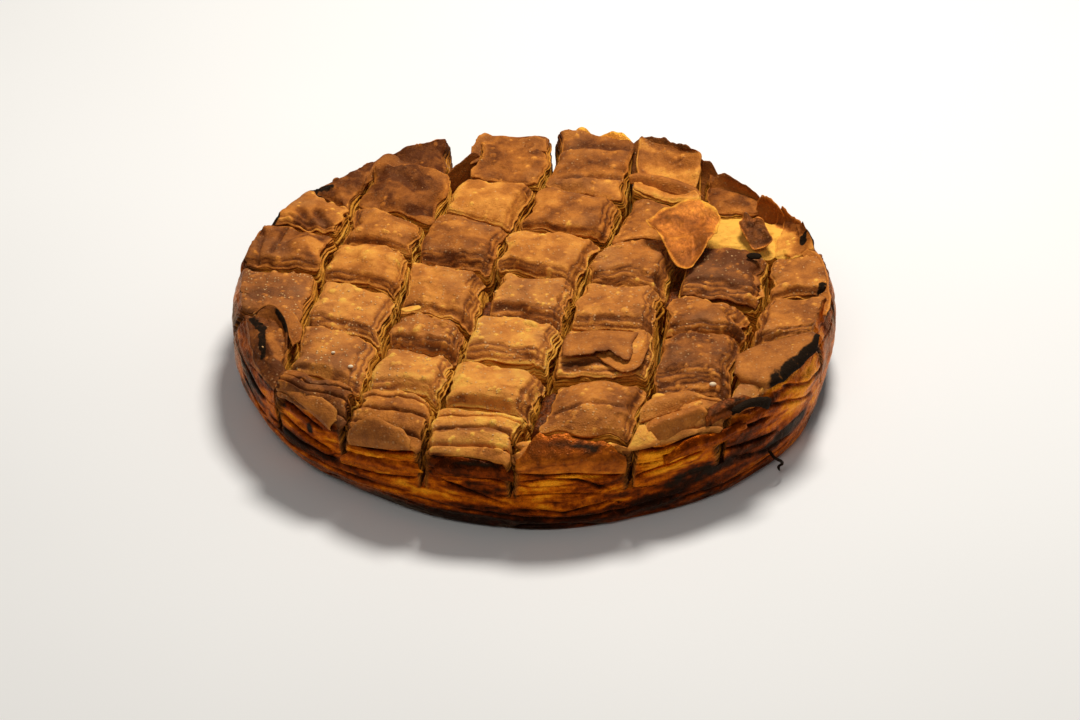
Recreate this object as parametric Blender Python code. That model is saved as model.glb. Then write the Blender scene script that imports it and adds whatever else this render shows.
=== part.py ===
"""Banitsa: a round pie of thin oiled pastry leaves, cut from above into uneven pieces.

The pie stands on its flat underside, centred on the origin. Its lower pastry is uncut and
carries the filling, and each piece of the cut top is a solid of its own. Columns of pieces
are lettered a to g from left to right, and numbered from the front to the back.
All lengths in this script are millimetres.
"""

import math
import random

import bmesh
import bpy

MM = 0.001
CLEARANCE = 0.3
COLUMNS = "abcdefg"
OUTLINE = "outline"                                # stands for the pie's outer wall in a list of sides
REACH = 150.0                                      # further out than any wall

# Outer wall: (height, radius) from the underside up to the rounded rim.
WALL = [(0.0, 131.0), (1.5, 133.2), (5.0, 134.6), (12.0, 136.8), (20.0, 138.0),
        (30.0, 138.6), (36.0, 138.0), (41.0, 136.4), (45.0, 134.0), (52.0, 133.0)]
WALL_LOBES = 3
LOBE_DEPTH = 0.8
LOBE_ANGLE = math.radians(220.0)
WALL_WAVES = [(7, 0.5, 0.4), (13, 0.35, 2.1)]      # (waves round the pie, depth, phase)
UNDERCUT = (5.5, math.radians(-130.0), math.radians(45.0), 18.0)   # depth, angle, half width, height
FOLD_DEPTH = 0.8
FOLD_PITCH = 9.0
FOLD_TOP = 40.0
FOLD_WANDER = [(2, 1.3, 0.7), (5, 0.8, 0.0)]       # (waves round the pie, radians of a fold, phase)
RIM_DRIFT = (-1.5, 3.0)                            # how far the rim leans over the underside
RIM_HEIGHT = 45.0
RIM_RADIUS = 134.0

# Lower pastry and filling
CUT_FLOOR = 20.0                                   # height that the cuts reach down to
FILLING_FLOOR = 14.0
FILLING_RADIUS = 120.4
WALL_STEPS = [0.0, 1.5, 5.0, 9.0, 13.0, 16.5, 20.0]
WALL_SIDES = 80
FILLING_SIDES = 48

# Cuts that run from front to back, from the leftmost: (y, x) where the knife changed its course.
LONG_CUTS = [
    [(-95, -112.5), (-77, -109.5), (-42, -103.5), (18, -96.5), (83, -82.5), (118, -73.5)],
    [(-142, -91.0), (-116, -84.5), (-100, -76.5), (-62, -68.0), (-2, -59.5), (38, -53.5), (78, -41.0),
     (113, -34.5)],
    [(-147, -49.5), (-122, -46.5), (-102, -41.5), (-62, -33.5), (-22, -23.5), (18, -17.5), (58, -7.0),
     (88, 3.0), (113, 9.5)],
    [(-152, -12.0), (-124, -8.0), (-109, 0.5), (-62, 8.5), (-22, 17.5), (18, 25.5), (48, 37.5),
     (78, 45.5), (138, 50.5)],
    [(-142, 36.5), (-92, 49.5), (-62, 54.0), (-22, 57.5), (18, 66.5), (48, 77.5), (68, 81.5), (108, 82.5)],
    [(-112, 79.0), (-57, 92.5), (-27, 98.5), (-12, 104.5), (23, 110.5), (58, 119.5)],
]

# Cuts across each column: y on its left side and y on its right side.
CROSS_CUTS = {
    "a": [(-30, -40), (12, 7), (50, 40), (82, 64)],
    "b": [(-74, -90), (-39, -52), (2, -14), (34, 23), (68, 52), (102, 94)],
    "c": [(-89, -96), (-54, -63), (-27, -37), (15, 6), (60, 49), (94, 90)],
    "d": [(-103, -108), (-66, -72), (-29, -39), (9, -4), (45, 39), (87, 72)],
    "e": [(-120, -124), (-80, -83), (-42, -45), (-4, -9), (32, 40), (80, 64)],
    "f": [(-90, -92), (-46, -48), (-12, -20), (31, 24), (66, 62)],
    "g": [(-56, -50), (-16, -16), (24, 20)],
}

# How far a piece's sides stand back from the middle of their cut, at the floor and at the top.
SIDE_FOOT = 0.7
SIDE_BACK_OFF = {"front": 5.0, "right": 3.4, "back": 2.6, "left": 2.6}
WIDER_SIDES = {
    ("e2", "left"): 3.2, ("d4", "left"): 2.6, ("f4", "left"): 3.2,
    ("b7", "right"): 6.0, ("c7", "left"): 4.5,
}

# Each top: height, crown, then how far its front, right, back and left edges turn up,
# the depth of its ridges, and which way the ridges are stacked ("v" inwards, "u" sideways).
TOPS = {
    "a1": (44.0, 1.5, (-6, 0, 2, 1), 1.5, "u"), "a2": (45.0, 1.0, (1, 0, 0, 1), 0.0, "v"),
    "a3": (45.0, 0.5, (0, 1, 0, 1), 1.3, "u"), "a4": (44.5, 1.0, (1, 0, 0, 0), 1.5, "u"),
    "a5": (41.0, 1.5, (0, 0, 1, 0), 1.0, "u"),
    "b1": (45.0, 0.0, (-8, 0, 0, 0), 1.6, "v"), "b2": (46.0, 0.5, (0, -1, 1, 0), 0.0, "v"),
    "b3": (46.0, 1.0, (0, -1, 0, 0), 0.0, "v"), "b4": (46.5, 2.5, (0, -1, 0, 0), 0.0, "v"),
    "b5": (45.5, 3.0, (0, -1, 0, 0), 0.0, "v"), "b6": (45.5, 2.0, (-1, -3, 6, 0), 0.0, "v"),
    "b7": (41.0, -1.0, (0, 0, 5, -2), 0.0, "v"),
    "c1": (45.0, 0.0, (-8, 0, 0, 0), 1.6, "v"), "c2": (46.0, 1.0, (0, -1, 0, 0), 0.0, "v"),
    "c3": (45.5, 1.5, (0, -1, 0, -1), 0.0, "v"), "c4": (46.5, 1.5, (-1, -1, 0, 0), 0.0, "v"),
    "c5": (46.5, 1.5, (1, 0, -1, 0), 0.0, "v"), "c6": (44.5, 2.0, (0, -1, 0, 0), 0.0, "v"),
    "c7": (42.5, -0.5, (0, 0, 1.5, 1), 0.8, "u"),
    "d1": (44.0, 0.0, (-7, 0, 0, 0), 1.5, "v"), "d2": (46.0, 2.5, (0, -1, -1, 0), 0.0, "v"),
    "d3": (46.5, 0.5, (0, 1, 0, 1), 0.0, "v"), "d4": (46.5, 0.5, (-1, 1, 0, 0), 0.0, "v"),
    "d5": (46.0, 1.5, (0, -1, 0, 0), 0.0, "v"), "d6": (45.5, 1.5, (0, 0, 0, 0), 0.0, "v"),
    "d7": (43.5, 0.5, (-1, 0, 3.5, 0), 0.0, "v"),
    "e1": (42.0, 0.5, (-2, -2, 0, 0), 0.8, "u"), "e2": (45.0, 3.0, (-2, -1, -1, -1), 0.0, "v"),
    "e3": (45.5, 0.0, (1, 2, 0, 0), 0.8, "v"), "e4": (46.5, 0.0, (0, 1, 0, 0), 0.0, "v"),
    "e5": (46.0, 1.5, (0, 0, -1, 0), 0.0, "v"), "e6": (43.0, 0.5, (0, -1, 0, 0), 0.0, "v"),
    "e7": (41.0, -2.0, (2, 4, 8, 2), 0.0, "v"),
    "f1": (43.5, 1.0, (-6, -1, 0, 0), 1.4, "v"), "f2": (45.5, 1.0, (0, 0, 1, 0), 0.0, "v"),
    "f3": (46.0, 1.5, (0, -1, -1, 0), 0.0, "v"), "f4": (45.5, 0.5, (1, -1, 0, 0), 0.8, "v"),
    "f5": (40.0, 1.5, (0, 0, 0, 0), 0.0, "v"), "f6": (40.0, -0.5, (0, 1, 0.5, 0), 0.0, "v"),
    "g1": (43.0, 2.0, (-2, 4, 0, 0), 1.0, "u"), "g2": (46.0, 0.5, (1, 0, 0, 0), 0.6, "v"),
    "g3": (44.5, 0.5, (0, 2, 0, 0), 0.0, "v"), "g4": (42.0, -0.5, (0, 6, 3, 0), 0.0, "v"),
}
CRUMPLE = 0.5
INNER_STEPS = (5, [0.0, 0.45, 0.8, 1.0])           # cells along an edge, levels up the side
RIM_STEPS = (6, [0.0, 0.3, 0.55, 0.8, 1.0])

# Filling squeezed up between pieces: long cut, middle, length, top height, piece on its right.
SQUEEZED = [(3, -94.0, 23.0, 36.5, "e2"), (2, -13.0, 22.0, 37.0, "d4"), (4, 2.0, 22.0, 36.0, "f4")]
SQUEEZED_STATIONS = 7

# Loose leaves of pastry: middle, width, length, turn, rise towards the back, thickness.
LOOSE_LEAVES = {
    "loose_leaf": ((70.0, 28.5, 50.8), 37.0, 38.0, -8.0, 4.0, 1.2),
    "small_leaf": ((104.0, 40.0, 45.6), 15.0, 23.0, 14.0, 6.0, 1.0),
}
LEAF_CURL = 0.10                                   # how far the long edges turn up, by width
LEAF_PINCH = 0.22                                  # how far the two ends narrow to a point
LEAF_NOTCHES = (0.08, 0.06)                        # unevenness of its width and its length
LEAF_WAVE = 0.05                                   # how far it waves up and down, by width
LEAF_RINGS = 5
LEAF_SIDES = 20

COLOURS = {
    "toasted": ((0.36, 0.15, 0.045, 1.0), 0.55),
    "golden": ((0.52, 0.25, 0.07, 1.0), 0.5),
    "caramel": ((0.22, 0.07, 0.018, 1.0), 0.4),
    "filling": ((0.16, 0.03, 0.012, 1.0), 0.35),
}


def between(table, value):
    """Read a value off a table of (position, value) pairs, straight between its entries."""
    for (x0, y0), (x1, y1) in zip(table, table[1:]):
        if value <= x1:
            return y0 + (y1 - y0) * max(0.0, value - x0) / (x1 - x0)
    return table[-1][1]


def wall_point(angle, height):
    """Point of the outer wall at an angle round the pie and a height above its underside."""
    radius = between(WALL, height) + LOBE_DEPTH * math.cos(WALL_LOBES * (angle - LOBE_ANGLE))
    for count, depth, phase in WALL_WAVES:
        radius += depth * math.sin(count * angle + phase)
    depth, middle, half_width, top = UNDERCUT
    off = math.remainder(angle - middle, 2 * math.pi) / half_width
    if abs(off) < 1.0 and height < top:
        radius -= depth * math.cos(off * math.pi / 2) ** 2 * (1.0 - height / top) ** 2
    if 0.0 < height < FOLD_TOP:
        wander = sum(turn * math.sin(count * angle + phase) for count, turn, phase in FOLD_WANDER)
        radius += FOLD_DEPTH * math.sin(2 * math.pi * height / FOLD_PITCH + wander)
    drift = height / RIM_HEIGHT
    return (radius * math.cos(angle) + RIM_DRIFT[0] * drift,
            radius * math.sin(angle) + RIM_DRIFT[1] * drift)


def wall_angle(point, height):
    drift = height / RIM_HEIGHT
    return math.atan2(point[1] - RIM_DRIFT[1] * drift, point[0] - RIM_DRIFT[0] * drift)


def lerp(start, end, part):
    return start + (end - start) * part


def across_rim(y):
    """How far the rim lies to the side of the pie's middle line, at y."""
    return math.sqrt(RIM_RADIUS ** 2 - y ** 2)


class LongCut:
    """One side of a cut that runs from front to back."""

    def __init__(self, number, shift):
        self.course = LONG_CUTS[number]
        self.shift = shift

    def x_at(self, y):
        return between(self.course, y) + self.shift


class CrossCut:
    """One side of a cut across a column."""

    def __init__(self, column, row, shift):
        index = COLUMNS.index(column)
        left_y, right_y = CROSS_CUTS[column][row]
        # In the outer columns, one end lies on the wall instead of on a long cut.
        left_x = LongCut(index - 1, 0.0).x_at(left_y) if index > 0 else -across_rim(left_y)
        right_x = LongCut(index, 0.0).x_at(right_y) if index < len(LONG_CUTS) else across_rim(right_y)
        self.slope = (right_y - left_y) / (right_x - left_x)
        self.start = left_y - self.slope * left_x + shift

    def y_at(self, x):
        return self.start + self.slope * x


def meet_cuts(long_cut, cross_cut):
    x = long_cut.x_at(0.0)
    for _ in range(8):
        y = cross_cut.y_at(x)
        x = long_cut.x_at(y)
    return x, y


def meet_wall(point_at, way, height):
    """Where a cut meets the wall, walking out from the middle one way, 1 or -1, along it."""
    near, far = 0.0, REACH * way
    for _ in range(30):
        middle = (near + far) / 2
        point = point_at(middle)
        wall = wall_point(wall_angle(point, height), height)
        inside = math.hypot(*point) < math.hypot(*wall)
        near, far = (middle, far) if inside else (near, middle)
    return point_at(near)


def corner(first, second, height, quarter):
    """Corner of a piece between two of its sides, on the given quarter of the pie.

    None stands for a corner whose sides both lie on the wall.
    """
    sides = {type(side): side for side in (first, second)}
    if LongCut in sides and CrossCut in sides:
        return meet_cuts(sides[LongCut], sides[CrossCut])
    if LongCut in sides:
        cut = sides[LongCut]
        return meet_wall(lambda y: (cut.x_at(y), y), quarter[1], height)
    if CrossCut in sides:
        cut = sides[CrossCut]
        return meet_wall(lambda x: (x, cut.y_at(x)), quarter[0], height)
    return None


class Piece:
    """One piece of the cut top. Across it, u runs from left to right and v from front to back."""

    def __init__(self, name):
        self.name = name
        self.column, self.row = name[0], int(name[1:]) - 1
        self.height, self.crown, self.turned_up, self.ridge, self.ridge_way = TOPS[name]
        self.at_rim = self.side("front", 0.0) == OUTLINE or self.side("back", 0.0) == OUTLINE
        self.at_rim = self.at_rim or self.column in "ag"
        self.cells, self.levels = RIM_STEPS if self.at_rim else INNER_STEPS
        self.noise = random.Random(name)
        self.bumps = {}

    def side(self, which, level):
        """The cut, or the wall, that the piece's side follows at a level from 0 to 1."""
        back_off = lerp(SIDE_FOOT, SIDE_BACK_OFF[which], level ** 1.5)
        back_off += WIDER_SIDES.get((self.name, which), 0.0)
        index = COLUMNS.index(self.column)
        rows = len(CROSS_CUTS[self.column])
        if which == "left":
            return LongCut(index - 1, back_off) if index > 0 else OUTLINE
        if which == "right":
            return LongCut(index, -back_off) if index < len(LONG_CUTS) else OUTLINE
        if which == "front":
            return CrossCut(self.column, self.row - 1, back_off) if self.row > 0 else OUTLINE
        return CrossCut(self.column, self.row, -back_off) if self.row < rows else OUTLINE

    def top(self, u, v):
        """Height of the top at u, v, before its crumpling."""
        front, right, back, left = self.turned_up
        height = self.height + self.crown * 16 * u * (1 - u) * v * (1 - v)
        height += front * (1 - v) ** 3 + right * u ** 3 + back * v ** 3 + left * (1 - u) ** 3
        along = v if self.ridge_way == "v" else u
        return height + self.ridge * math.cos(3 * 2 * math.pi * along)

    def crumpled_top(self, u, v):
        key = (round(u, 3), round(v, 3))
        if key not in self.bumps:
            self.bumps[key] = self.noise.uniform(-CRUMPLE, CRUMPLE)
        return self.top(u, v) + self.bumps[key]

    def outline(self, level):
        """Closed loop round the piece at a level, from the front left corner, seen from above."""
        names = ["front", "right", "back", "left"]
        spots = [(0, 0), (1, 0), (1, 1), (0, 1)]
        sides = [self.side(name, level) for name in names]
        quarter = (-1 if self.column == "a" else 1, -1 if self.row == 0 else 1)
        heights = [lerp(CUT_FLOOR + CLEARANCE, self.crumpled_top(*spot), level) for spot in spots]
        corners = [corner(sides[i - 1], sides[i], heights[i], quarter) for i in range(4)]
        for i in range(4):
            if corners[i] is None:      # halfway along the wall's arc
                before = wall_angle(corners[i - 1], heights[i])
                after = wall_angle(corners[(i + 1) % 4], heights[i])
                turn = math.remainder(after - before, 2 * math.pi)
                corners[i] = wall_point(before + turn / 2, heights[i])
        loop = []
        for i in range(4):
            (u0, v0), (u1, v1) = spots[i], spots[(i + 1) % 4]
            start, end = corners[i], corners[(i + 1) % 4]
            for step in range(self.cells):
                part = step / self.cells
                u, v = lerp(u0, u1, part), lerp(v0, v1, part)
                z = lerp(CUT_FLOOR + CLEARANCE, self.crumpled_top(u, v), level)
                loop.append(self.side_point(sides[i], start, end, part, z) + (z,))
        return loop

    @staticmethod
    def side_point(side, start, end, part, z):
        x, y = lerp(start[0], end[0], part), lerp(start[1], end[1], part)
        if side == OUTLINE:
            first, last = wall_angle(start, z), wall_angle(end, z)
            turn = math.remainder(last - first, 2 * math.pi)
            return wall_point(first + turn * part, z)
        if isinstance(side, LongCut):
            return side.x_at(y), y
        return x, side.y_at(x)

    def mesh(self):
        """Rings up the sides, then the top as a grid of cells."""
        builder = bmesh.new()
        rings = [[builder.verts.new(point) for point in self.outline(level)] for level in self.levels]
        builder.faces.new(reversed(rings[0]))
        for lower, upper in zip(rings, rings[1:]):
            for i in range(len(lower)):
                j = (i + 1) % len(lower)
                builder.faces.new((lower[i], lower[j], upper[j], upper[i]))
        grid = self.top_grid(builder, rings[-1])
        for i in range(self.cells):
            for j in range(self.cells):
                builder.faces.new((grid[i][j], grid[i + 1][j], grid[i + 1][j + 1], grid[i][j + 1]))
        return builder

    def top_grid(self, builder, ring):
        n = self.cells
        grid = [[None] * (n + 1) for _ in range(n + 1)]
        for k in range(n):
            grid[k][0], grid[n][k] = ring[k], ring[n + k]
            grid[n - k][n], grid[0][n - k] = ring[2 * n + k], ring[3 * n + k]
        for i in range(1, n):
            for j in range(1, n):
                u, v = i / n, j / n
                x, y = (self.blend(grid, i, j, axis) for axis in (0, 1))
                grid[i][j] = builder.verts.new((x, y, self.crumpled_top(u, v)))
        return grid

    def blend(self, grid, i, j, axis):
        """Place of an inner grid point, blended from the four edges and the corners."""
        n = self.cells
        u, v = i / n, j / n
        edges = lerp(grid[i][0].co[axis], grid[i][n].co[axis], v)
        edges += lerp(grid[0][j].co[axis], grid[n][j].co[axis], u)
        front = lerp(grid[0][0].co[axis], grid[n][0].co[axis], u)
        back = lerp(grid[0][n].co[axis], grid[n][n].co[axis], u)
        return edges - lerp(front, back, v)


def turned_mesh(stations, sides):
    """Closed solid from (radius or None, height) stations, from the bottom middle to the top middle.

    A radius of None stands for the outer wall at that height.
    """
    builder = bmesh.new()
    rings = []
    for radius, height in stations:
        ring = []
        for k in range(sides):
            angle = 2 * math.pi * k / sides
            x, y = wall_point(angle, height) if radius is None else \
                (radius * math.cos(angle), radius * math.sin(angle))
            ring.append(builder.verts.new((x, y, height)))
        rings.append(ring)
    for lower, upper in zip(rings, rings[1:]):
        for k in range(sides):
            after = (k + 1) % sides
            builder.faces.new((lower[k], lower[after], upper[after], upper[k]))
    builder.faces.new(reversed(rings[0]))
    builder.faces.new(rings[-1])
    return builder


def squeezed_mesh(cut_number, middle, length, top, right_name):
    """Filling that rises in a cut: it fills the cut's width, less a clearance on each side."""
    wider = WIDER_SIDES[(right_name, "left")]
    noise = random.Random(right_name)
    builder = bmesh.new()
    rings = []
    for k in range(SQUEEZED_STATIONS):
        part = k / (SQUEEZED_STATIONS - 1)
        y = middle + (part - 0.5) * length
        crest = lerp(CUT_FLOOR + 2, top, math.sin(math.pi * lerp(0.15, 0.85, part))) + noise.uniform(-1, 1)
        level = (crest - CUT_FLOOR) / (RIM_HEIGHT - CUT_FLOOR)
        left = lerp(SIDE_FOOT, SIDE_BACK_OFF["right"], level ** 1.5) - 2 * CLEARANCE
        right = lerp(SIDE_FOOT, SIDE_BACK_OFF["left"], level ** 1.5) - 2 * CLEARANCE + wider
        foot = SIDE_FOOT - CLEARANCE
        x = LongCut(cut_number, 0.0).x_at(y)
        section = [(x - foot, CUT_FLOOR - 2), (x + foot + wider, CUT_FLOOR - 2),
                   (x + lerp(foot + wider, right, 0.7), crest - 1.5),
                   (x + wider / 2, crest), (x - lerp(foot, left, 0.7), crest - 1.5)]
        rings.append([builder.verts.new((px, y, pz)) for px, pz in section])
    for near, far in zip(rings, rings[1:]):
        for i in range(len(near)):
            j = (i + 1) % len(near)
            builder.faces.new((near[i], near[j], far[j], far[i]))
    builder.faces.new(rings[0])
    builder.faces.new(reversed(rings[-1]))
    bmesh.ops.recalc_face_normals(builder, faces=builder.faces)
    return builder


def leaf_mesh(middle, width, length, turn, rise, thickness):
    """Thin wavy leaf with pointed ends: two faces of rings round a middle point."""
    builder = bmesh.new()
    cos_turn, sin_turn = math.cos(math.radians(turn)), math.sin(math.radians(turn))

    def face_point(reach, angle, side):
        pinch = 1.0 - LEAF_PINCH * math.sin(angle) ** 4
        across = reach * (width / 2) * pinch * math.cos(angle) * (1 + LEAF_NOTCHES[0] * math.sin(3 * angle))
        along = reach * (length / 2) * math.sin(angle) * (1 + LEAF_NOTCHES[1] * math.cos(5 * angle))
        lift = LEAF_CURL * width * (2 * across / width) ** 2 + rise * along / length
        lift += LEAF_WAVE * width * math.sin(3 * angle + 4 * reach) * reach
        x = middle[0] + across * cos_turn + along * sin_turn
        y = middle[1] - across * sin_turn + along * cos_turn
        return x, y, middle[2] + lift + side * thickness / 2

    faces = {}
    for side in (1, -1):
        centre = builder.verts.new(face_point(0.0, 0.0, side))
        rings = []
        for ring in range(1, LEAF_RINGS + 1):
            angles = [2 * math.pi * k / LEAF_SIDES for k in range(LEAF_SIDES)]
            rings.append([builder.verts.new(face_point(ring / LEAF_RINGS, a, side)) for a in angles])
        for k in range(LEAF_SIDES):
            after = (k + 1) % LEAF_SIDES
            add_face(builder, (centre, rings[0][k], rings[0][after]), side)
            for inner, outer in zip(rings, rings[1:]):
                add_face(builder, (inner[k], outer[k], outer[after]), side)
                add_face(builder, (inner[k], outer[after], inner[after]), side)
        faces[side] = rings[-1]
    for k in range(LEAF_SIDES):
        after = (k + 1) % LEAF_SIDES
        builder.faces.new((faces[-1][k], faces[-1][after], faces[1][after], faces[1][k]))
    return builder


def add_face(builder, corners, side):
    builder.faces.new(corners if side > 0 else reversed(corners))


def material(name):
    colour, roughness = COLOURS[name]
    made = bpy.data.materials.get(name) or bpy.data.materials.new(name)
    made.use_nodes = True
    shader = made.node_tree.nodes["Principled BSDF"]
    shader.inputs["Base Color"].default_value = colour
    shader.inputs["Roughness"].default_value = roughness
    made.diffuse_color = colour
    return made


def add_object(name, builder, material_name):
    """Turn a mesh built in millimetres into a named object in metres."""
    bmesh.ops.scale(builder, vec=(MM, MM, MM), verts=builder.verts)
    mesh = bpy.data.meshes.new(name)
    builder.to_mesh(mesh)
    builder.free()
    made = bpy.data.objects.new(name, mesh)
    made.data.materials.append(material(material_name))
    bpy.context.collection.objects.link(made)
    return made


def add_lower_pastry():
    stations = [(None, height) for height in WALL_STEPS]
    stations += [(FILLING_RADIUS + CLEARANCE, CUT_FLOOR), (FILLING_RADIUS + CLEARANCE, FILLING_FLOOR)]
    add_object("lower_pastry", turned_mesh(stations, WALL_SIDES), "caramel")


def add_filling():
    stations = [(FILLING_RADIUS, FILLING_FLOOR + CLEARANCE), (FILLING_RADIUS, CUT_FLOOR)]
    filling = add_object("filling", turned_mesh(stations, FILLING_SIDES), "filling")
    for number, spot in enumerate(SQUEEZED):
        part = add_object(f"squeezed_{number}", squeezed_mesh(*spot), "filling")
        part.hide_render = True
        part.display_type = "WIRE"
        join = filling.modifiers.new(part.name, "BOOLEAN")
        join.operation = "UNION"
        join.object = part


def add_pieces():
    for column in COLUMNS:
        for row in range(len(CROSS_CUTS[column]) + 1):
            piece = Piece(f"{column}{row + 1}")
            finish = "golden" if piece.name in ("f5", "c6", "b4", "e7") else "toasted"
            add_object(f"piece_{piece.name}", piece.mesh(), finish)


def add_loose_leaves():
    for name, sizes in LOOSE_LEAVES.items():
        add_object(name, leaf_mesh(*sizes), "golden")


def centre_on_origin():
    """Move every mesh so that the whole pie's box is centred on the origin."""
    meshes = [item.data for item in bpy.data.objects]
    points = [vertex.co for mesh in meshes for vertex in mesh.vertices]
    middle = [(min(p[axis] for p in points) + max(p[axis] for p in points)) / 2 for axis in (0, 1)]
    for mesh in meshes:
        for vertex in mesh.vertices:
            vertex.co.x -= middle[0]
            vertex.co.y -= middle[1]


def main():
    for item in list(bpy.data.objects):
        bpy.data.objects.remove(item, do_unlink=True)
    add_lower_pastry()
    add_filling()
    add_pieces()
    add_loose_leaves()
    centre_on_origin()


main()
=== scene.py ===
"""Looks of the banitsa: flaky leaves, toasted and blistered tops, caramel wall and dark filling.

Lengths are in millimetres from the middle of the underside, with x to the right, y to the back
and z up, and angles run from the right side towards the back. The layout of the cuts repeats
the part's own tables. Each piece of the pie stands for its CAD node.

A mesh is made as points, quads, caps and masks. The masks of a point are its toast, char, oil,
wall, stain, grey and specks, and the materials read them.
"""

import itertools
import math

import bmesh
import bpy
import numpy as np
from mathutils import Matrix, Vector


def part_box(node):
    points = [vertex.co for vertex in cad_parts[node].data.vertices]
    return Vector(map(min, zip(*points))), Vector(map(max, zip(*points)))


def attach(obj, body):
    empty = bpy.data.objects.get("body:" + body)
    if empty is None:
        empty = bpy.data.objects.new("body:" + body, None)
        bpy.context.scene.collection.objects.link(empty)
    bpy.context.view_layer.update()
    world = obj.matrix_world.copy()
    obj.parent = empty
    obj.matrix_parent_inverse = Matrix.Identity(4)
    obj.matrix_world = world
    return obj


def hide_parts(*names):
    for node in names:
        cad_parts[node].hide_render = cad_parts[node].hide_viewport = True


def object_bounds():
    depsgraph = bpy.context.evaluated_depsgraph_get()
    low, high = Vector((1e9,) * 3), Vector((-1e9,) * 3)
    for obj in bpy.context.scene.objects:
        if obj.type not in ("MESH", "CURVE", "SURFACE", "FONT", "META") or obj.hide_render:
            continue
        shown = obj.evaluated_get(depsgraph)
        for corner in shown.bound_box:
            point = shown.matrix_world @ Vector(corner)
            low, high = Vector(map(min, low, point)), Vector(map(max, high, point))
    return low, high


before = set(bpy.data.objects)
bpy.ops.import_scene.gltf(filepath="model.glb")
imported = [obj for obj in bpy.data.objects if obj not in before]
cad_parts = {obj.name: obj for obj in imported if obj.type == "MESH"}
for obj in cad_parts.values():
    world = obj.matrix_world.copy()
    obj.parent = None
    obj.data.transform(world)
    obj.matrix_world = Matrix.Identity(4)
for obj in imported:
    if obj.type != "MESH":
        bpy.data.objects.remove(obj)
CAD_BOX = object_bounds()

MM = 0.001
LOW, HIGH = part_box("filling")
MIDDLE = np.array([(LOW.x + HIGH.x) / 2, (LOW.y + HIGH.y) / 2, 0.0])

# ---------------------------------------------------------------- layout, as in the part
COLUMNS = "abcdefg"
# The wall from the foot up: height and radius.
WALL = [(0.0, 131.0), (1.5, 133.2), (5.0, 134.6), (12.0, 136.8), (20.0, 138.0),
        (30.0, 138.6), (36.0, 138.0), (41.0, 136.4), (45.0, 134.0), (52.0, 133.0)]
WALL_LOBES = 3
LOBE_DEPTH = 0.8
LOBE_ANGLE = math.radians(220.0)
# Waves round the wall: how many, how deep, where they start.
WALL_WAVES = [(7, 0.5, 0.4), (13, 0.35, 2.1)]
# Hollow under the wall: depth, middle and half width (radians), height.
UNDERCUT = (5.5, math.radians(-130.0), math.radians(45.0), 18.0)
RIM_DRIFT = (-1.5, 3.0)
RIM_HEIGHT = 45.0
RIM_RADIUS = 134.0
REACH = 150.0
CUT_FLOOR = 20.0
FILLING_RADIUS = 120.4
# Cuts from front to back, left to right, as places (y, x) along each.
LONG_CUTS = [
    [(-95, -112.5), (-77, -109.5), (-42, -103.5), (18, -96.5), (83, -82.5), (118, -73.5)],
    [(-142, -91.0), (-116, -84.5), (-100, -76.5), (-62, -68.0), (-2, -59.5), (38, -53.5), (78, -41.0),
     (113, -34.5)],
    [(-147, -49.5), (-122, -46.5), (-102, -41.5), (-62, -33.5), (-22, -23.5), (18, -17.5), (58, -7.0),
     (88, 3.0), (113, 9.5)],
    [(-152, -12.0), (-124, -8.0), (-109, 0.5), (-62, 8.5), (-22, 17.5), (18, 25.5), (48, 37.5),
     (78, 45.5), (138, 50.5)],
    [(-142, 36.5), (-92, 49.5), (-62, 54.0), (-22, 57.5), (18, 66.5), (48, 77.5), (68, 81.5), (108, 82.5)],
    [(-112, 79.0), (-57, 92.5), (-27, 98.5), (-12, 104.5), (23, 110.5), (58, 119.5)],
]
# Cuts across each column, front to back: y at the column's left and right side.
CROSS_CUTS = {
    "a": [(-30, -40), (12, 7), (50, 40), (82, 64)],
    "b": [(-74, -90), (-39, -52), (2, -14), (34, 23), (68, 52), (102, 94)],
    "c": [(-89, -96), (-54, -63), (-27, -37), (15, 6), (60, 49), (94, 90)],
    "d": [(-103, -108), (-66, -72), (-29, -39), (9, -4), (45, 39), (87, 72)],
    "e": [(-120, -124), (-80, -83), (-42, -45), (-4, -9), (32, 40), (80, 64)],
    "f": [(-90, -92), (-46, -48), (-12, -20), (31, 24), (66, 62)],
    "g": [(-56, -50), (-16, -16), (24, 20)],
}
# How far a side stands back from the middle of its cut, at its foot and at its top.
SIDE_FOOT = 0.7
SIDE_BACK_OFF = {"front": 5.0, "right": 3.4, "back": 2.6, "left": 2.6}
WIDER_SIDES = {
    ("e2", "left"): 3.2, ("d4", "left"): 2.6, ("f4", "left"): 3.2,
    ("b7", "right"): 6.0, ("c7", "left"): 4.5,
}
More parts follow.
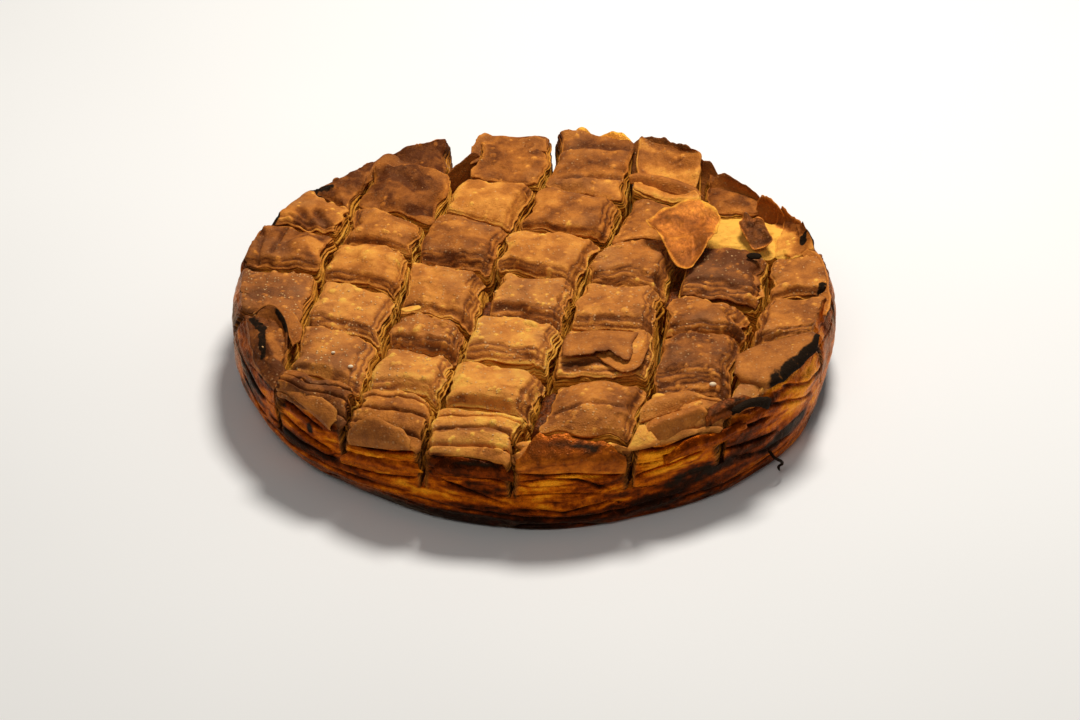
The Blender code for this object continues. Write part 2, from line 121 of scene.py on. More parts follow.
# Tops: height, crown, how far the front, right, back and left turn up, ridges and their way.
TOPS = {
    "a1": (44.0, 1.5, (-6, 0, 2, 1), 1.5, "u"), "a2": (45.0, 1.0, (1, 0, 0, 1), 0.0, "v"),
    "a3": (45.0, 0.5, (0, 1, 0, 1), 1.3, "u"), "a4": (44.5, 1.0, (1, 0, 0, 0), 1.5, "u"),
    "a5": (41.0, 1.5, (0, 0, 1, 0), 1.0, "u"),
    "b1": (45.0, 0.0, (-8, 0, 0, 0), 1.6, "v"), "b2": (46.0, 0.5, (0, -1, 1, 0), 0.0, "v"),
    "b3": (46.0, 1.0, (0, -1, 0, 0), 0.0, "v"), "b4": (46.5, 2.5, (0, -1, 0, 0), 0.0, "v"),
    "b5": (45.5, 3.0, (0, -1, 0, 0), 0.0, "v"), "b6": (45.5, 2.0, (-1, -3, 6, 0), 0.0, "v"),
    "b7": (41.0, -1.0, (0, 0, 5, -2), 0.0, "v"),
    "c1": (45.0, 0.0, (-8, 0, 0, 0), 1.6, "v"), "c2": (46.0, 1.0, (0, -1, 0, 0), 0.0, "v"),
    "c3": (45.5, 1.5, (0, -1, 0, -1), 0.0, "v"), "c4": (46.5, 1.5, (-1, -1, 0, 0), 0.0, "v"),
    "c5": (46.5, 1.5, (1, 0, -1, 0), 0.0, "v"), "c6": (44.5, 2.0, (0, -1, 0, 0), 0.0, "v"),
    "c7": (42.5, -0.5, (0, 0, 1.5, 1), 0.8, "u"),
    "d1": (44.0, 0.0, (-7, 0, 0, 0), 1.5, "v"), "d2": (46.0, 2.5, (0, -1, -1, 0), 0.0, "v"),
    "d3": (46.5, 0.5, (0, 1, 0, 1), 0.0, "v"), "d4": (46.5, 0.5, (-1, 1, 0, 0), 0.0, "v"),
    "d5": (46.0, 1.5, (0, -1, 0, 0), 0.0, "v"), "d6": (45.5, 1.5, (0, 0, 0, 0), 0.0, "v"),
    "d7": (43.5, 0.5, (-1, 0, 3.5, 0), 0.0, "v"),
    "e1": (42.0, 0.5, (-2, -2, 0, 0), 0.8, "u"), "e2": (45.0, 3.0, (-2, -1, -1, -1), 0.0, "v"),
    "e3": (45.5, 0.0, (1, 2, 0, 0), 0.8, "v"), "e4": (46.5, 0.0, (0, 1, 0, 0), 0.0, "v"),
    "e5": (46.0, 1.5, (0, 0, -1, 0), 0.0, "v"), "e6": (43.0, 0.5, (0, -1, 0, 0), 0.0, "v"),
    "e7": (41.0, -2.0, (2, 4, 8, 2), 0.0, "v"),
    "f1": (43.5, 1.0, (-6, -1, 0, 0), 1.4, "v"), "f2": (45.5, 1.0, (0, 0, 1, 0), 0.0, "v"),
    "f3": (46.0, 1.5, (0, -1, -1, 0), 0.0, "v"), "f4": (45.5, 0.5, (1, -1, 0, 0), 0.8, "v"),
    "f5": (40.0, 1.5, (0, 0, 0, 0), 0.0, "v"), "f6": (40.0, -0.5, (0, 1, 0.5, 0), 0.0, "v"),
    "g1": (43.0, 2.0, (-2, 4, 0, 0), 1.0, "u"), "g2": (46.0, 0.5, (1, 0, 0, 0), 0.6, "v"),
    "g3": (44.5, 0.5, (0, 2, 0, 0), 0.0, "v"), "g4": (42.0, -0.5, (0, 6, 3, -2), 0.0, "v"),
}

# ---------------------------------------------------------------- looks of each piece
# How toasted (0 yellow, 1 dark brown), how grey, how speckled.
BAKE = {
    "a1": (1.00, 0.1, 0.3), "a2": (0.78, 0.5, 1.0), "a3": (0.78, 0.3, 0.2), "a4": (0.52, 0.6, 0.1),
    "a5": (0.90, 0.1, 0.1),
    "b1": (0.87, 0.4, 0.3), "b2": (0.60, 0.4, 1.0), "b3": (0.42, 0.2, 0.8), "b4": (0.49, 0.1, 0.3),
    "b5": (0.50, 0.1, 0.3), "b6": (0.81, 0.3, 0.1), "b7": (1.00, 0.05, 0.0),
    "c1": (0.54, 0.5, 0.3), "c2": (0.32, 0.2, 1.0), "c3": (0.64, 0.5, 0.9), "c4": (0.50, 0.3, 0.5),
    "c5": (0.75, 0.4, 0.3), "c6": (0.44, 0.0, 0.2), "c7": (0.69, 0.3, 0.1),
    "d1": (0.20, 0.3, 0.4), "d2": (0.33, 0.2, 0.8), "d3": (0.26, 0.4, 0.8), "d4": (0.50, 0.4, 0.7),
    "d5": (0.35, 0.2, 0.4), "d6": (0.64, 0.5, 0.2), "d7": (0.70, 0.3, 0.2),
    "e1": (0.52, 0.2, 0.2), "e2": (0.60, 0.3, 0.5), "e3": (0.36, 0.5, 0.7), "e4": (0.50, 0.3, 0.7),
    "e5": (0.60, 0.4, 0.4), "e6": (0.68, 0.1, 0.2), "e7": (0.41, 0.1, 0.2),
    "f1": (0.42, 0.3, 0.3), "f2": (0.76, 0.3, 0.4), "f3": (0.63, 0.5, 0.4), "f4": (1.00, 0.4, 0.5),
    "f5": (-0.10, 0.0, 0.0), "f6": (0.76, 0.1, 0.1),
    "g1": (0.48, 0.6, 0.5), "g2": (0.60, 0.4, 0.4), "g3": (0.60, 0.4, 0.5), "g4": (0.27, 0.0, 0.0),
}

# Pieces whose leaves lie in folds.
FOLDED = ("b1", "c1", "d1", "f1")

# Cuts that are pressed shut where they reach the wall, at these angles in degrees.
SHUT_CUTS = (-142, -55)

# Tops that a torn leaf lies flat on.
LEAF_COVERED = ("e3",)

# Sides that lean over until the leaf carries on across the cut.
JOINED_SIDES = {("f5", "right"): 3.6, ("g4", "left"): 3.0}

# Openings between leaves: side, middle and half width along it, opening, depth, leaves above it.
OPENINGS = {
    "a2": [("front", 0.60, 0.40, 1.8, 4.0, 1)],
    "a3": [("front", 0.55, 0.35, 1.2, 3.0, 1)],
    "a4": [("front", 0.30, 0.25, 3.0, 6.0, 1), ("front", 0.75, 0.20, 2.0, 5.0, 1)],
    "b2": [("front", 0.55, 0.35, 1.4, 3.0, 1), ("right", 0.45, 0.30, 1.2, 3.0, 1)],
    "b3": [("front", 0.45, 0.42, 2.6, 5.0, 1)],
    "b4": [("front", 0.45, 0.40, 1.6, 4.0, 1), ("front", 0.75, 0.20, 1.4, 4.0, 3)],
    "b5": [("left", 0.50, 0.40, 1.2, 3.0, 1)],
    "b6": [("front", 0.80, 0.22, 3.4, 7.0, 2)],
    "c2": [("front", 0.45, 0.42, 2.4, 5.0, 1)],
    "c3": [("front", 0.50, 0.42, 1.4, 4.0, 1), ("right", 0.50, 0.40, 1.4, 3.0, 1)],
    "c4": [("right", 0.50, 0.42, 1.6, 4.0, 1)],
    "c5": [("front", 0.50, 0.46, 2.4, 5.0, 1), ("front", 0.45, 0.40, 2.4, 7.0, 3)],
    "d2": [("front", 0.45, 0.45, 1.0, 3.0, 1), ("right", 0.60, 0.35, 1.0, 3.0, 1)],
    "d3": [("front", 0.42, 0.40, 2.6, 6.0, 1)],
    "d4": [("front", 0.50, 0.45, 1.8, 5.0, 1), ("front", 0.50, 0.40, 1.6, 5.0, 3)],
    "d5": [("front", 0.55, 0.40, 1.2, 4.0, 1), ("right", 0.15, 0.25, 1.4, 4.0, 1)],
    "d6": [("right", 0.30, 0.35, 2.2, 5.0, 1)],
    "e3": [("front", 0.45, 0.40, 2.0, 6.0, 1)],
    "e4": [("front", 0.50, 0.42, 1.8, 4.0, 1), ("right", 0.50, 0.40, 1.6, 4.0, 1)],
    "e5": [("front", 0.50, 0.46, 2.4, 6.0, 1), ("front", 0.55, 0.40, 2.0, 6.0, 3),
           ("right", 0.30, 0.40, 1.6, 5.0, 2)],
    "f2": [("front", 0.50, 0.46, 2.6, 5.0, 1), ("front", 0.60, 0.38, 4.2, 9.0, 3)],
    "f3": [("front", 0.50, 0.42, 1.8, 5.0, 1), ("right", 0.45, 0.42, 1.8, 4.0, 1)],
    "f4": [("front", 0.62, 0.34, 4.2, 9.0, 1), ("front", 0.45, 0.45, 1.4, 4.0, 3)],
    "g2": [("front", 0.45, 0.45, 2.2, 5.0, 1)],
    "g3": [("front", 0.70, 0.25, 1.6, 4.0, 1)],
}

# Leaves that end one after another towards a side: how far in they start, and how many.
LAYERED = {
    "a3": {"front": (3, 2)}, "a4": {"front": (4, 2)}, "b2": {"front": (3, 2), "right": (5, 2)},
    "b3": {"front": (4, 3), "right": (3, 2)}, "b4": {"front": (3, 2), "right": (3, 2)},
    "b5": {"front": (2, 2), "left": (3, 2)}, "c2": {"front": (3, 2), "right": (3, 2)},
    "c3": {"front": (4, 3), "right": (5, 4)}, "c4": {"front": (3, 2), "right": (5, 4)},
    "c5": {"front": (6, 5), "right": (3, 2)}, "c6": {"right": (4, 3)},
    "d2": {"front": (3, 2), "right": (6, 5)}, "d3": {"front": (6, 3), "right": (4, 3)},
    "d4": {"front": (6, 5), "right": (4, 3)}, "d5": {"front": (4, 3), "right": (4, 3)},
    "d6": {"front": (2, 2), "right": (5, 3)}, "e2": {"right": (3, 2)},
    "e3": {"front": (13, 3), "right": (3, 2)}, "e4": {"front": (5, 3), "right": (5, 4)},
    "e5": {"front": (7, 5), "right": (5, 4)}, "f2": {"front": (11, 5), "right": (4, 3)},
    "f3": {"front": (4, 3), "right": (8, 5)}, "f4": {"front": (8, 4), "right": (3, 2)},
    "g2": {"front": (4, 3), "left": (4, 3)}, "g3": {"front": (2, 2)},
}
LAYER_STEP = 1.05  # thickness of each of these leaves

# Round blisters on the tops: x, y, radius, height, how golden.
BLISTERS = [
    (-84, 23, 8.0, 1.2, 0.9), (-63, 13, 6.5, 1.6, 1.0), (-76, 14, 6.0, 0.9, 0.7), (-71, 26, 5.0, 0.8, 0.5),
    (-3, -43, 5.5, 0.9, 0.9), (14.5, -15, 3.4, 1.3, 1.0), (24.5, 66, 6.0, 0.8, 0.5), (10, 62, 3.0, 0.5, 0.6),
    (-38, 44, 5.0, 0.6, 0.8), (-10, 27, 4.0, 0.6, 0.9), (22, -107, 4.0, 0.6, 1.0), (-107, 28, 8.0, 1.4, 0.6),
    (-93, -62, 3.0, 0.6, 0.7), (-52, -48, 3.5, 0.5, 0.8), (-30, -8, 4.0, 0.5, 0.6), (42, -60, 4.0, 0.6, 0.4),
    (35.5, 91, 2.5, 0.5, 1.0), (74.5, 87, 4.5, -0.8, 1.0), (92, -74, 2.2, 0.8, 0.8), (98, 22, 3.0, 0.5, 0.3),
]

# Patches on the tops: what, from (x, y), to (x, y), radius, strength.
PATCHES = [
    ("char", (-136, 31), (-136, 31), 3.5, 1.0), ("dark", (-112, 52), (-110, 50), 3.4, 0.9),
    ("dark", (-103, 52), (-100, 52), 3.2, 0.8), ("char", (-126, 53), (-123, 59), 3.0, 1.0),
    ("char", (-108, 84), (-99, 89), 3.0, 1.0), ("dark", (96, 17), (104, 14), 3.0, 0.5),
    ("char", (130, -11), (131, -8), 2.0, 1.0), ("char", (125, 32), (125.5, 36), 1.9, 1.0),
    ("char", (-126, -36), (-121, -45), 2.2, 1.0), ("char", (-121, -45), (-119.5, -60), 2.0, 0.9),
    ("dark", (-120, -37), (-113, -41), 3.0, 0.8), ("gold", (-117, -50), (-112, -62), 2.6, 0.4),
    ("gold", (-60, -30), (-50, -26), 4.0, 0.5), ("gold", (-97, -73), (-90, -76), 3.0, 0.6),
    ("gold", (-66, -79), (-44, -88), 3.5, 0.5), ("gold", (-27, -99), (-5, -104), 3.0, 0.6),
    ("gold", (-42, 68), (-37, 88), 5.0, 0.8), ("gold", (12, 84), (44, 88), 5.0, 0.25),
    ("gold", (-100, 25), (-104, 30), 5.0, 0.5), ("gold", (105, 28), (120, 30), 3.5, 0.8),
    ("gold", (-26, 60), (4, 72), 11.0, 0.4), ("gold", (55, 40), (60, 50), 7.0, 0.5),
    ("gold", (101, -14), (107, -14), 4.0, 0.7), ("gold", (-92, 22), (-66, 8), 9.0, 0.3),
    ("dark", (14, 126), (46, 123), 4.0, 0.6), ("dark", (-28, 112), (8, 128), 7.0, 0.3),
    ("dark", (-66, 84), (-58, 90), 5.0, 0.6), ("dark", (-60, 66), (-48, 68), 4.0, 0.5),
    ("dark", (15, -70), (36, -69), 3.0, 1.0), ("dark", (-40, -118), (-5, -121), 1.8, 0.7),
    ("gold", (58, 108), (76, 95), 6.0, 0.8), ("dark", (52, 115), (78, 103), 4.5, 0.55),
    ("dark", (112, 68), (127, 38), 3.6, 0.9), ("dark", (124, 30), (128, 37), 5.0, 0.6),
    ("dark", (108, 22), (122, 24), 3.6, 0.35), ("dark", (-22, -130), (-9, -134), 3.0, 0.45),
    ("dark", (50, 128), (82, 110), 4.0, 0.7), ("dark", (82, 90), (104, 88), 3.0, 0.6),
]

# Folds pressed into the tops: from (x, y), to (x, y), depth, width (a negative depth is a ridge). The pressed
# ones are darkened with painted shade.
CREASES = [
    ((8, -106), (38, -104), 1.6, 1.0), ((-128, 44), (-128, 18), 1.8, 1.0),
    ((-117, 44), (-122, 22), 1.8, 1.0), ((-110, 16), (-104, 32), -0.8, 5.0),
    ((12, 95), (46, 95), 1.8, 1.2), ((12, 90), (46, 90), -0.8, 3.0),
    ((14, 123), (46, 121), 1.4, 2.0), ((-112, 62), (-106, 50), 2.6, 2.4), ((-104, 60), (-99, 50), 2.4, 2.2),
    ((-68, 92), (-58, 82), 2.0, 3.5), ((-60, 64), (-47, 66), 2.4, 3.0),
    ((50, 106), (78, 88), 2.0, 6.0), ((48, 96), (76, 80), -1.6, 2.6),
    ((118, 8), (120, -10), -0.6, 3.0),
]

# Loose and standing leaves: piece, toast, kind, how caramelled, how far its rows bow out, and the
# rows of places from its root to its free edge.
LOOSE_LEAVES = [
    ("a1", 0.72, "char", 0.2, (0, 0),
     [[(-125, -37, 44), (-119, -37, 45), (-113, -43, 44), (-110, -54, 42), (-111, -60, 40)],
      [(-126, -34, 47.5), (-121, -31, 50), (-116, -33, 51), (-111, -42, 50.5), (-108, -52, 46.5)]]),
    ("a1", 0.70, "gold", 0.0, (0, 0),
     [[(-126, -34, 47.5), (-121, -31, 50), (-116, -33, 51), (-111, -42, 50.5), (-108, -52, 46.5)],
      [(-124, -28, 45), (-118, -25, 46), (-108, -32, 47), (-103, -44, 45), (-106, -56, 41)]]),
    ("a1", 0.50, "glazed", 1.0, (0.0, 0.3, 0.2),
     [[(-135.5, -30, 22), (-132.5, -42, 22), (-125, -58, 22)],
      [(-135, -30, 33), (-132, -41, 34), (-125, -56, 34)],
      [(-132.5, -31, 41), (-128, -40, 43), (-121.5, -56, 41.5)]]),
    ("b1", 0.68, "gold", 0.0, (0.4, 1.8, 1.0, 0.2),
     [[(-111, -83, 38.5), (-99, -95, 39), (-87, -106, 34.5)],
      [(-111, -80, 41), (-99, -93, 42), (-85, -106, 39)],
      [(-111, -77, 42.5), (-99, -90, 44), (-90, -97, 45), (-81, -107, 41.5)]]),
    ("c1", 0.74, "gold", 0.0, (0.4, 1.6, 1.0, 0.4),
     [[(-79, -112, 31.5), (-65, -120, 35), (-52, -126, 38)],
      [(-79, -110, 37), (-66, -117, 41), (-52, -124, 41)],
      [(-77, -109, 42.5), (-72, -110, 45), (-66, -112, 46.5), (-58, -117, 45.5), (-52, -121, 43.5)]]),
    ("c1", 0.40, "glazed", 1.0, (0.2, 1.0, 0.2),
     [[(-83, -109, 20), (-66, -120, 23), (-47, -129, 29)],
      [(-83, -110, 24), (-66, -121, 28), (-49, -128, 32)],
      [(-83, -110, 27), (-67, -119, 31.5), (-50, -127, 35)]]),
    ("d1", 0.78, "glazed", 1.0, (0.0, 1.2, 0.2),
     [[(-42, -131, 30), (-30, -134, 30), (-18, -135, 30), (-9, -136, 29)],
      [(-42, -130, 33.5), (-30, -133, 34), (-18, -134, 34), (-9, -135, 33)],
      [(-42, -128, 37), (-30, -131, 38), (-18, -132, 37.5), (-9, -132, 36)]]),
    ("e1", 0.46, "glazed", 0.82, (0.3, 1.4, 0.4),
     [[(-8, -135, 33), (4, -136, 33), (16, -135, 33), (27, -133, 31), (38, -130, 29)],
      [(-8, -134, 38), (4, -134, 40), (16, -133, 40), (27, -132, 38), (38, -129, 36)],
      [(-7, -129, 43), (1, -126, 46.5), (9, -124, 48.5), (15, -124, 47.5), (22, -127, 43.5), (27, -126, 44),
       (32, -127, 42.5), (37, -127, 41)]]),
    ("f1", 0.51, "gold", 0.0, (0.3, 2.2, 0.6),
     [[(44, -114, 43), (56, -109, 44), (70, -100, 43)], [(45, -107, 45), (56, -103, 46.5), (70, -96, 45)],
      [(48, -100, 44.5), (57, -96, 45.5), (69, -92, 44)]]),
    ("f1", 0.55, "gold", 0.2, (0.3, 2.2, 0.4),
     [[(47, -124, 38), (58, -119, 39), (73, -108, 40.5)], [(46, -119, 43), (58, -114, 45), (72, -105, 44.5)],
      [(48, -114, 44), (59, -110, 45.5), (70, -102, 44)]]),
    ("f1", 0.14, "pale", 0.0, (0.4, 1.2, 1.2),
     [[(44, -118, 44.5), (45, -118, 44.8), (46, -117.5, 44.5)],
      [(41.5, -123, 41.5), (45, -123, 42.5), (49, -120.5, 42)],
      [(37.5, -128.5, 37.5), (45, -127.5, 38.5), (53, -124, 38.5)]]),
    ("f1", 0.50, "glazed", 1.0, (0.2, 1.4, 0.2),
     [[(54, -124, 29), (67, -118, 31), (79, -111, 31), (90, -102, 33)],
      [(54, -124, 32), (67, -118, 34.5), (79, -111, 34.5), (90, -103, 35.5)],
      [(54, -123, 35), (66, -117, 38), (79, -110, 37), (90, -101, 38)]]),
    ("g1", 0.62, "glazed", 0.8, (0.3, 1.4, 0.3),
     [[(72, -112, 38), (82, -104, 39), (94, -94, 37)], [(72, -110, 42), (82, -103, 43), (94, -93, 41)],
      [(72, -106, 44), (80, -100, 45.5), (92, -92, 43.5)]]),
    ("g1", 1.00, "burnt", 0.4, (0.0, 1.6, 0.8),
     [[(84, -104, 40.5), (92, -98, 41), (101, -93, 38)], [(84, -105, 42), (92, -99.5, 43.5), (101, -94, 41)],
      [(85, -107, 41), (92, -102, 42.5), (102, -96, 37)]]),
    ("g1", 0.62, "char", 0.0, (0.2, 1.4, 1.2, 0.8),
     [[(88, -64, 44), (97, -58, 45), (108, -54, 46), (122, -48, 46)],
      [(87, -76, 44), (99, -73, 46), (110, -66, 47), (124, -54, 48)],
      [(86, -79, 44), (99, -85, 45), (109, -77, 46), (126, -55, 48)],
      [(87, -79, 41), (100, -86, 42), (111, -79, 43), (129, -55, 45)]]),
    ("c3", 0.08, "gold", 0.0, (0.4, 0.6),
     [[(-60, -30, 47), (-56, -28, 47), (-52, -27, 47)], [(-59, -33, 47), (-55, -32, 47), (-50, -30, 47)]]),
    ("e3", 0.62, "torn", 0.0, (0.2, 0.3, 0.5),
     [[(14, -50, 46), (24, -48, 46.8), (35, -48, 46.8), (46, -49, 46.5)],
      [(12, -61, 47), (23, -60, 48.2), (33, -58, 48.4), (43, -58, 47.5)],
      [(13, -75, 47), (17, -72, 48), (24, -70.5, 49), (27, -68.5, 49.4), (30.5, -69, 49.4), (33, -68, 49),
       (36, -70.5, 48.5), (39, -74, 48), (41.5, -71, 47.5), (42.5, -66, 47)]]),
    ("e3", 0.48, "torn", 0.0, (0.2, 0.4, 0.4),
     [[(26, -62, 45.5), (34, -63, 45.5), (41, -62, 46), (46, -55, 46.5), (50, -49, 46.5)],
      [(26.5, -66, 46), (32, -70, 45.6), (38, -73, 45.6), (44, -70, 46.4), (49.5, -58, 47.8)],
      [(27, -67, 46), (31, -73, 45.6), (36, -78, 45.2), (40, -81, 45.6), (46, -76, 47), (51, -60, 49)]]),
    ("f4", 0.55, "dark", 0.0, (0, 0.8),
     [[(78, 6, 45), (90, 6, 45), (102, 2, 44)], [(77, -3, 44), (90, -4, 44), (104, -8, 42)]]),
    ("f4", 0.40, "gold", 0.0, (0, 0.8),
     [[(74, 4, 42), (88, 2, 42), (104, -4, 41)], [(72, -6, 41), (88, -9, 41), (105, -14, 39)]]),
    ("f4", 1.00, "burnt", 0.1, (0.0, 0.3, 0.0),
     [[(98.5, 18, 46.6), (101, 18.4, 46.8), (103.5, 18, 46.6)],
      [(97.5, 16, 46.8), (101, 16, 47.4), (104.5, 15.6, 46.8)],
      [(98.5, 13.8, 46.6), (101, 13.6, 46.8), (104, 13.4, 46.6)]]),
    ("c7", 0.72, "gold", 0.0, (0, 0),
     [[(-32, 118, 38), (-20, 122, 40), (-8, 123, 42), (6, 122, 43)],
      [(-31, 134, 46), (-25, 136, 46), (-16, 136, 42), (-6, 136, 43.5), (5, 136, 47)]]),
    ("c7", 0.62, "dark", 0.2, (0, 0.5, 0),
     [[(-46, 106, 26), (-38, 113, 26), (-27, 121, 26)], [(-44, 109, 35), (-37, 115, 37), (-27, 122, 39)],
      [(-43, 111, 38), (-36, 117, 41), (-27, 124, 45)]]),
    ("b6", 0.66, "dark", 0.0, (0, 0.6, 0.2),
     [[(-83, 89, 43), (-73, 96, 44), (-55, 93, 44)], [(-82, 93, 45), (-74, 101, 47), (-56, 95, 46)],
      [(-81, 95, 45.5), (-77, 103, 49), (-71, 107, 50.5), (-63, 103, 48.5), (-54, 97, 46)]]),
    ("d7", 0.20, "gold", 0.5, (0, 0),
     [[(13, 126, 40), (22, 127, 40), (32, 127, 40), (51, 121, 38)],
      [(12, 136, 45), (18, 136, 45), (24, 137, 49), (31, 136, 44), (40, 136, 48), (51, 131, 46)]]),
    ("e7", 0.66, "dark", 0.2, (0, 0.8, 0),
     [[(47, 116, 34), (60, 111, 32), (74, 101, 30), (90, 86, 26)],
      [(46, 124, 42), (61, 121, 42), (76, 110, 41), (92, 94, 38)],
      [(46, 130, 47), (62, 127, 50), (72, 119, 50), (81, 110, 48), (91, 101, 45)]]),
    ("e7", 0.60, "gold", 0.2, (0, 1.4, 0),
     [[(46, 92, 42), (58, 86, 42), (70, 80, 42), (80, 76, 41)],
      [(46, 96, 44), (58, 91, 45), (70, 85, 45), (80, 80, 43)],
      [(47, 101, 42), (60, 97, 42), (72, 90, 42), (82, 84, 41)]]),
    ("f6", 0.58, "dark", 0.2, (0, 0.8, 0),
     [[(83, 86, 32), (95, 79, 30), (107, 66, 28)], [(85, 92, 41), (98, 86, 41), (111, 73, 38)],
      [(85, 96, 46), (94, 91, 47.5), (104, 82, 45), (110, 75, 41)]]),
    ("g4", 0.62, "frilled", 0.3, (0, 0.6, 0),
     [[(104, 70, 30), (110, 64, 30), (117, 55, 30)], [(106, 72, 42), (112, 66, 43), (119, 57, 43)],
      [(107, 73, 46), (111, 69, 48.5), (119, 58, 47)]]),
    ("g4", 0.78, "frilled", 0.2, (0, 0.6, 0),
     [[(114, 59, 34), (120, 50, 34), (125, 42, 34)], [(115, 61, 43), (121, 52, 43.5), (126, 43, 42)],
      [(116, 62, 47.5), (121, 54, 48.5), (127, 44, 46.5)]]),
    ("g4", 0.60, "char", 0.1, (0, 0.6, 0),
     [[(122, 46, 34), (126, 38, 34), (129, 30, 34)], [(122, 47, 42), (127, 39, 42.5), (130, 31, 41)],
      [(122, 48, 45.5), (127, 40, 47), (131, 31, 44)]]),
    ("wall", 1.00, "burnt", 0.2, (0.0, 0.0, 0.0, 0.0, 0.0, 0.0),
     [[(101, -93, 14), (101.6, -92.6, 14), (102.2, -92.2, 14)],
      [(103.6, -95.6, 12), (104, -95.3, 12), (104.4, -95, 12)],
      [(106.4, -95.2, 10), (106.8, -94.9, 10), (107.2, -94.6, 10)],
      [(107.6, -92.6, 6.5), (108, -92.3, 6.5), (108.4, -92, 6.5)],
      [(106.2, -91.4, 4), (106.6, -91.1, 4), (107, -90.8, 4)],
      [(107, -93, 1.6), (107.3, -92.7, 1.6), (107.6, -92.4, 1.6)]]),
    ("g3", 0.55, "gold", 0.2, (0, 0),
     [[(124, 26, 42), (128, 8, 43), (129, -10, 42), (128, -28, 42)],
      [(129, 27, 46), (133, 8, 47), (134, -12, 45), (132, -32, 45)]]),
]

# Colour of the wall: angle round the pie, height, half width in degrees, half height, tone, char.
WALL_MARKS = [
    (-87, 28, 5, 4, -0.45, 0.0), (-81, 31, 6, 1.6, -0.55, 0.0), (-65, 31, 2.5, 4, -0.45, 0.0),
    (-69, 30, 3, 6, -0.20, 0.0), (-119, 29, 8, 3, -0.20, 0.0), (-119, 23, 8, 3, -0.15, 0.0),
    (-137, 32, 6, 3, -0.22, 0.0), (-136, 40, 7, 3, -0.30, 0.0), (-98, 34, 4, 2.5, -0.25, 0.0),
    (-34, 26, 5, 6, -0.35, 0.0), (-29, 33, 5, 5, -0.30, 0.0), (-23, 24, 4, 8, -0.30, 0.0),
    (-138.5, 21.5, 6, 2.2, 0.45, 0.8), (-140.5, 35, 1.2, 1.6, 0.5, 1.1), (-133.5, 31, 0.9, 2.4, 0.5, 1.1),
    (-153, 27, 5, 7, 0.40, 0.7), (-161, 20, 4, 6, 0.25, 0.4), (-148, 37, 3, 4, 0.30, 0.5),
    (-108, 34, 2, 5, 0.40, 0.6), (-101, 31, 5, 1.5, 0.40, 0.7), (-99, 24, 5, 4, 0.30, 0.45),
    (-83, 17, 6, 4, 0.35, 0.45), (-60, 20, 6.5, 6, 0.50, 0.9), (-73, 17, 4, 3, 0.40, 0.6),
    (-42, 15, 4, 4, 0.40, 0.7), (-34, 16, 5, 4, 0.40, 0.8), (-46, 40, 3, 3, 0.40, 0.6),
    # The first two marks on the next line darken the front foot: partly char, partly painted shade.
    (-90, 5, 40, 6, 0.30, 0.25), (-104, 3, 8, 5, 0.35, 0.35), (-134, 9, 19, 8, -0.34, 0.0),
    (-138, 29, 7, 6, -0.25, 0.0), (-50, 29, 7, 5, 0.12, 0.1), (-168, 30, 12, 14, 0.15, 0.2),
    (-122, 15, 8, 10, -0.18, 0.0), (-151, 24, 1.8, 4, -0.40, 0.0), (-163, 37, 2.4, 3, -0.60, 0.0),
    (-162, 28, 1.6, 5, -0.50, 0.0), (-158, 33, 1.6, 4, 0.40, 0.9), (-160, 22, 1.4, 4, -0.40, 0.0),
    (-106, 40, 2.5, 4, 0.40, 0.7), (-100, 14, 8, 3, 0.30, 0.4), (-68, 12, 7, 3, 0.30, 0.4),
    (-52, 12, 6, 3, 0.30, 0.5),
    # Round the back.
    (20, 36, 10, 5, 0.3, 0.6), (80, 24, 25, 8, 0.1, 0.3), (150, 26, 14, 8, 0.3, 0.5),
]

# Long creases in the wall, each as places (angle, height) along it, and its depth; they also darken the wall
# as painted shade.
WALL_CREASES = [
    ([(-127, 32), (-119, 33), (-110, 37)], 1.8), ([(-127, 26), (-120, 27), (-110, 31)], 1.8),
    ([(-127, 20), (-119, 21), (-110, 25)], 1.2), ([(-144, 37), (-137, 36.5), (-130, 33)], 1.8),
    ([(-144, 31), (-137, 28), (-129, 24)], 1.8), ([(-146, 23), (-136, 21), (-128, 20)], 1.2),
    ([(-109, 36), (-101, 37), (-94, 35)], 1.6), ([(-109, 31), (-102, 31), (-94, 28)], 1.8),
    ([(-107, 27), (-101, 22), (-94, 16)], 1.4), ([(-93, 32), (-89, 34.5), (-83, 32.5), (-74, 29)], 2.0),
    ([(-92, 29), (-88, 31), (-82, 29), (-76, 22)], 1.4), ([(-93, 14), (-85, 12), (-76, 15)], 1.4),
    ([(-72, 39), (-66, 36), (-58, 38)], 1.6), ([(-67, 33), (-60, 33), (-52, 35)], 1.4),
    ([(-72, 25), (-66, 28), (-58, 30)], 1.6), ([(-57, 37), (-50, 33), (-42, 31)], 1.6),
    ([(-55, 27), (-47, 23), (-40, 21)], 1.6), ([(-52, 20), (-45, 15), (-36, 13)], 1.4),
    ([(-44, 39), (-36, 31), (-27, 23)], 1.4), ([(-38, 40), (-30, 33), (-20, 28)], 1.4),
    ([(-172, 14), (-150, 18), (-135, 14), (-112, 16)], 1.4),
    ([(-104, 12), (-90, 9), (-75, 8), (-62, 11)], 1.4),
    ([(-62, 8), (-50, 6), (-34, 9)], 1.2), ([(-170, 30), (-158, 26), (-147, 20)], 1.4),
    ([(-166, 38), (-156, 33), (-147, 29)], 1.6),
]


def lerp(start, end, part):
    """Between start and end: start at part 0, end at part 1."""
    return start + (end - start) * part


def smooth(low, high, value):
    """Rise smoothly from 0 at low to 1 at high."""
    part = np.clip((value - low) / (high - low), 0.0, 1.0)
    return part * part * (3 - 2 * part)


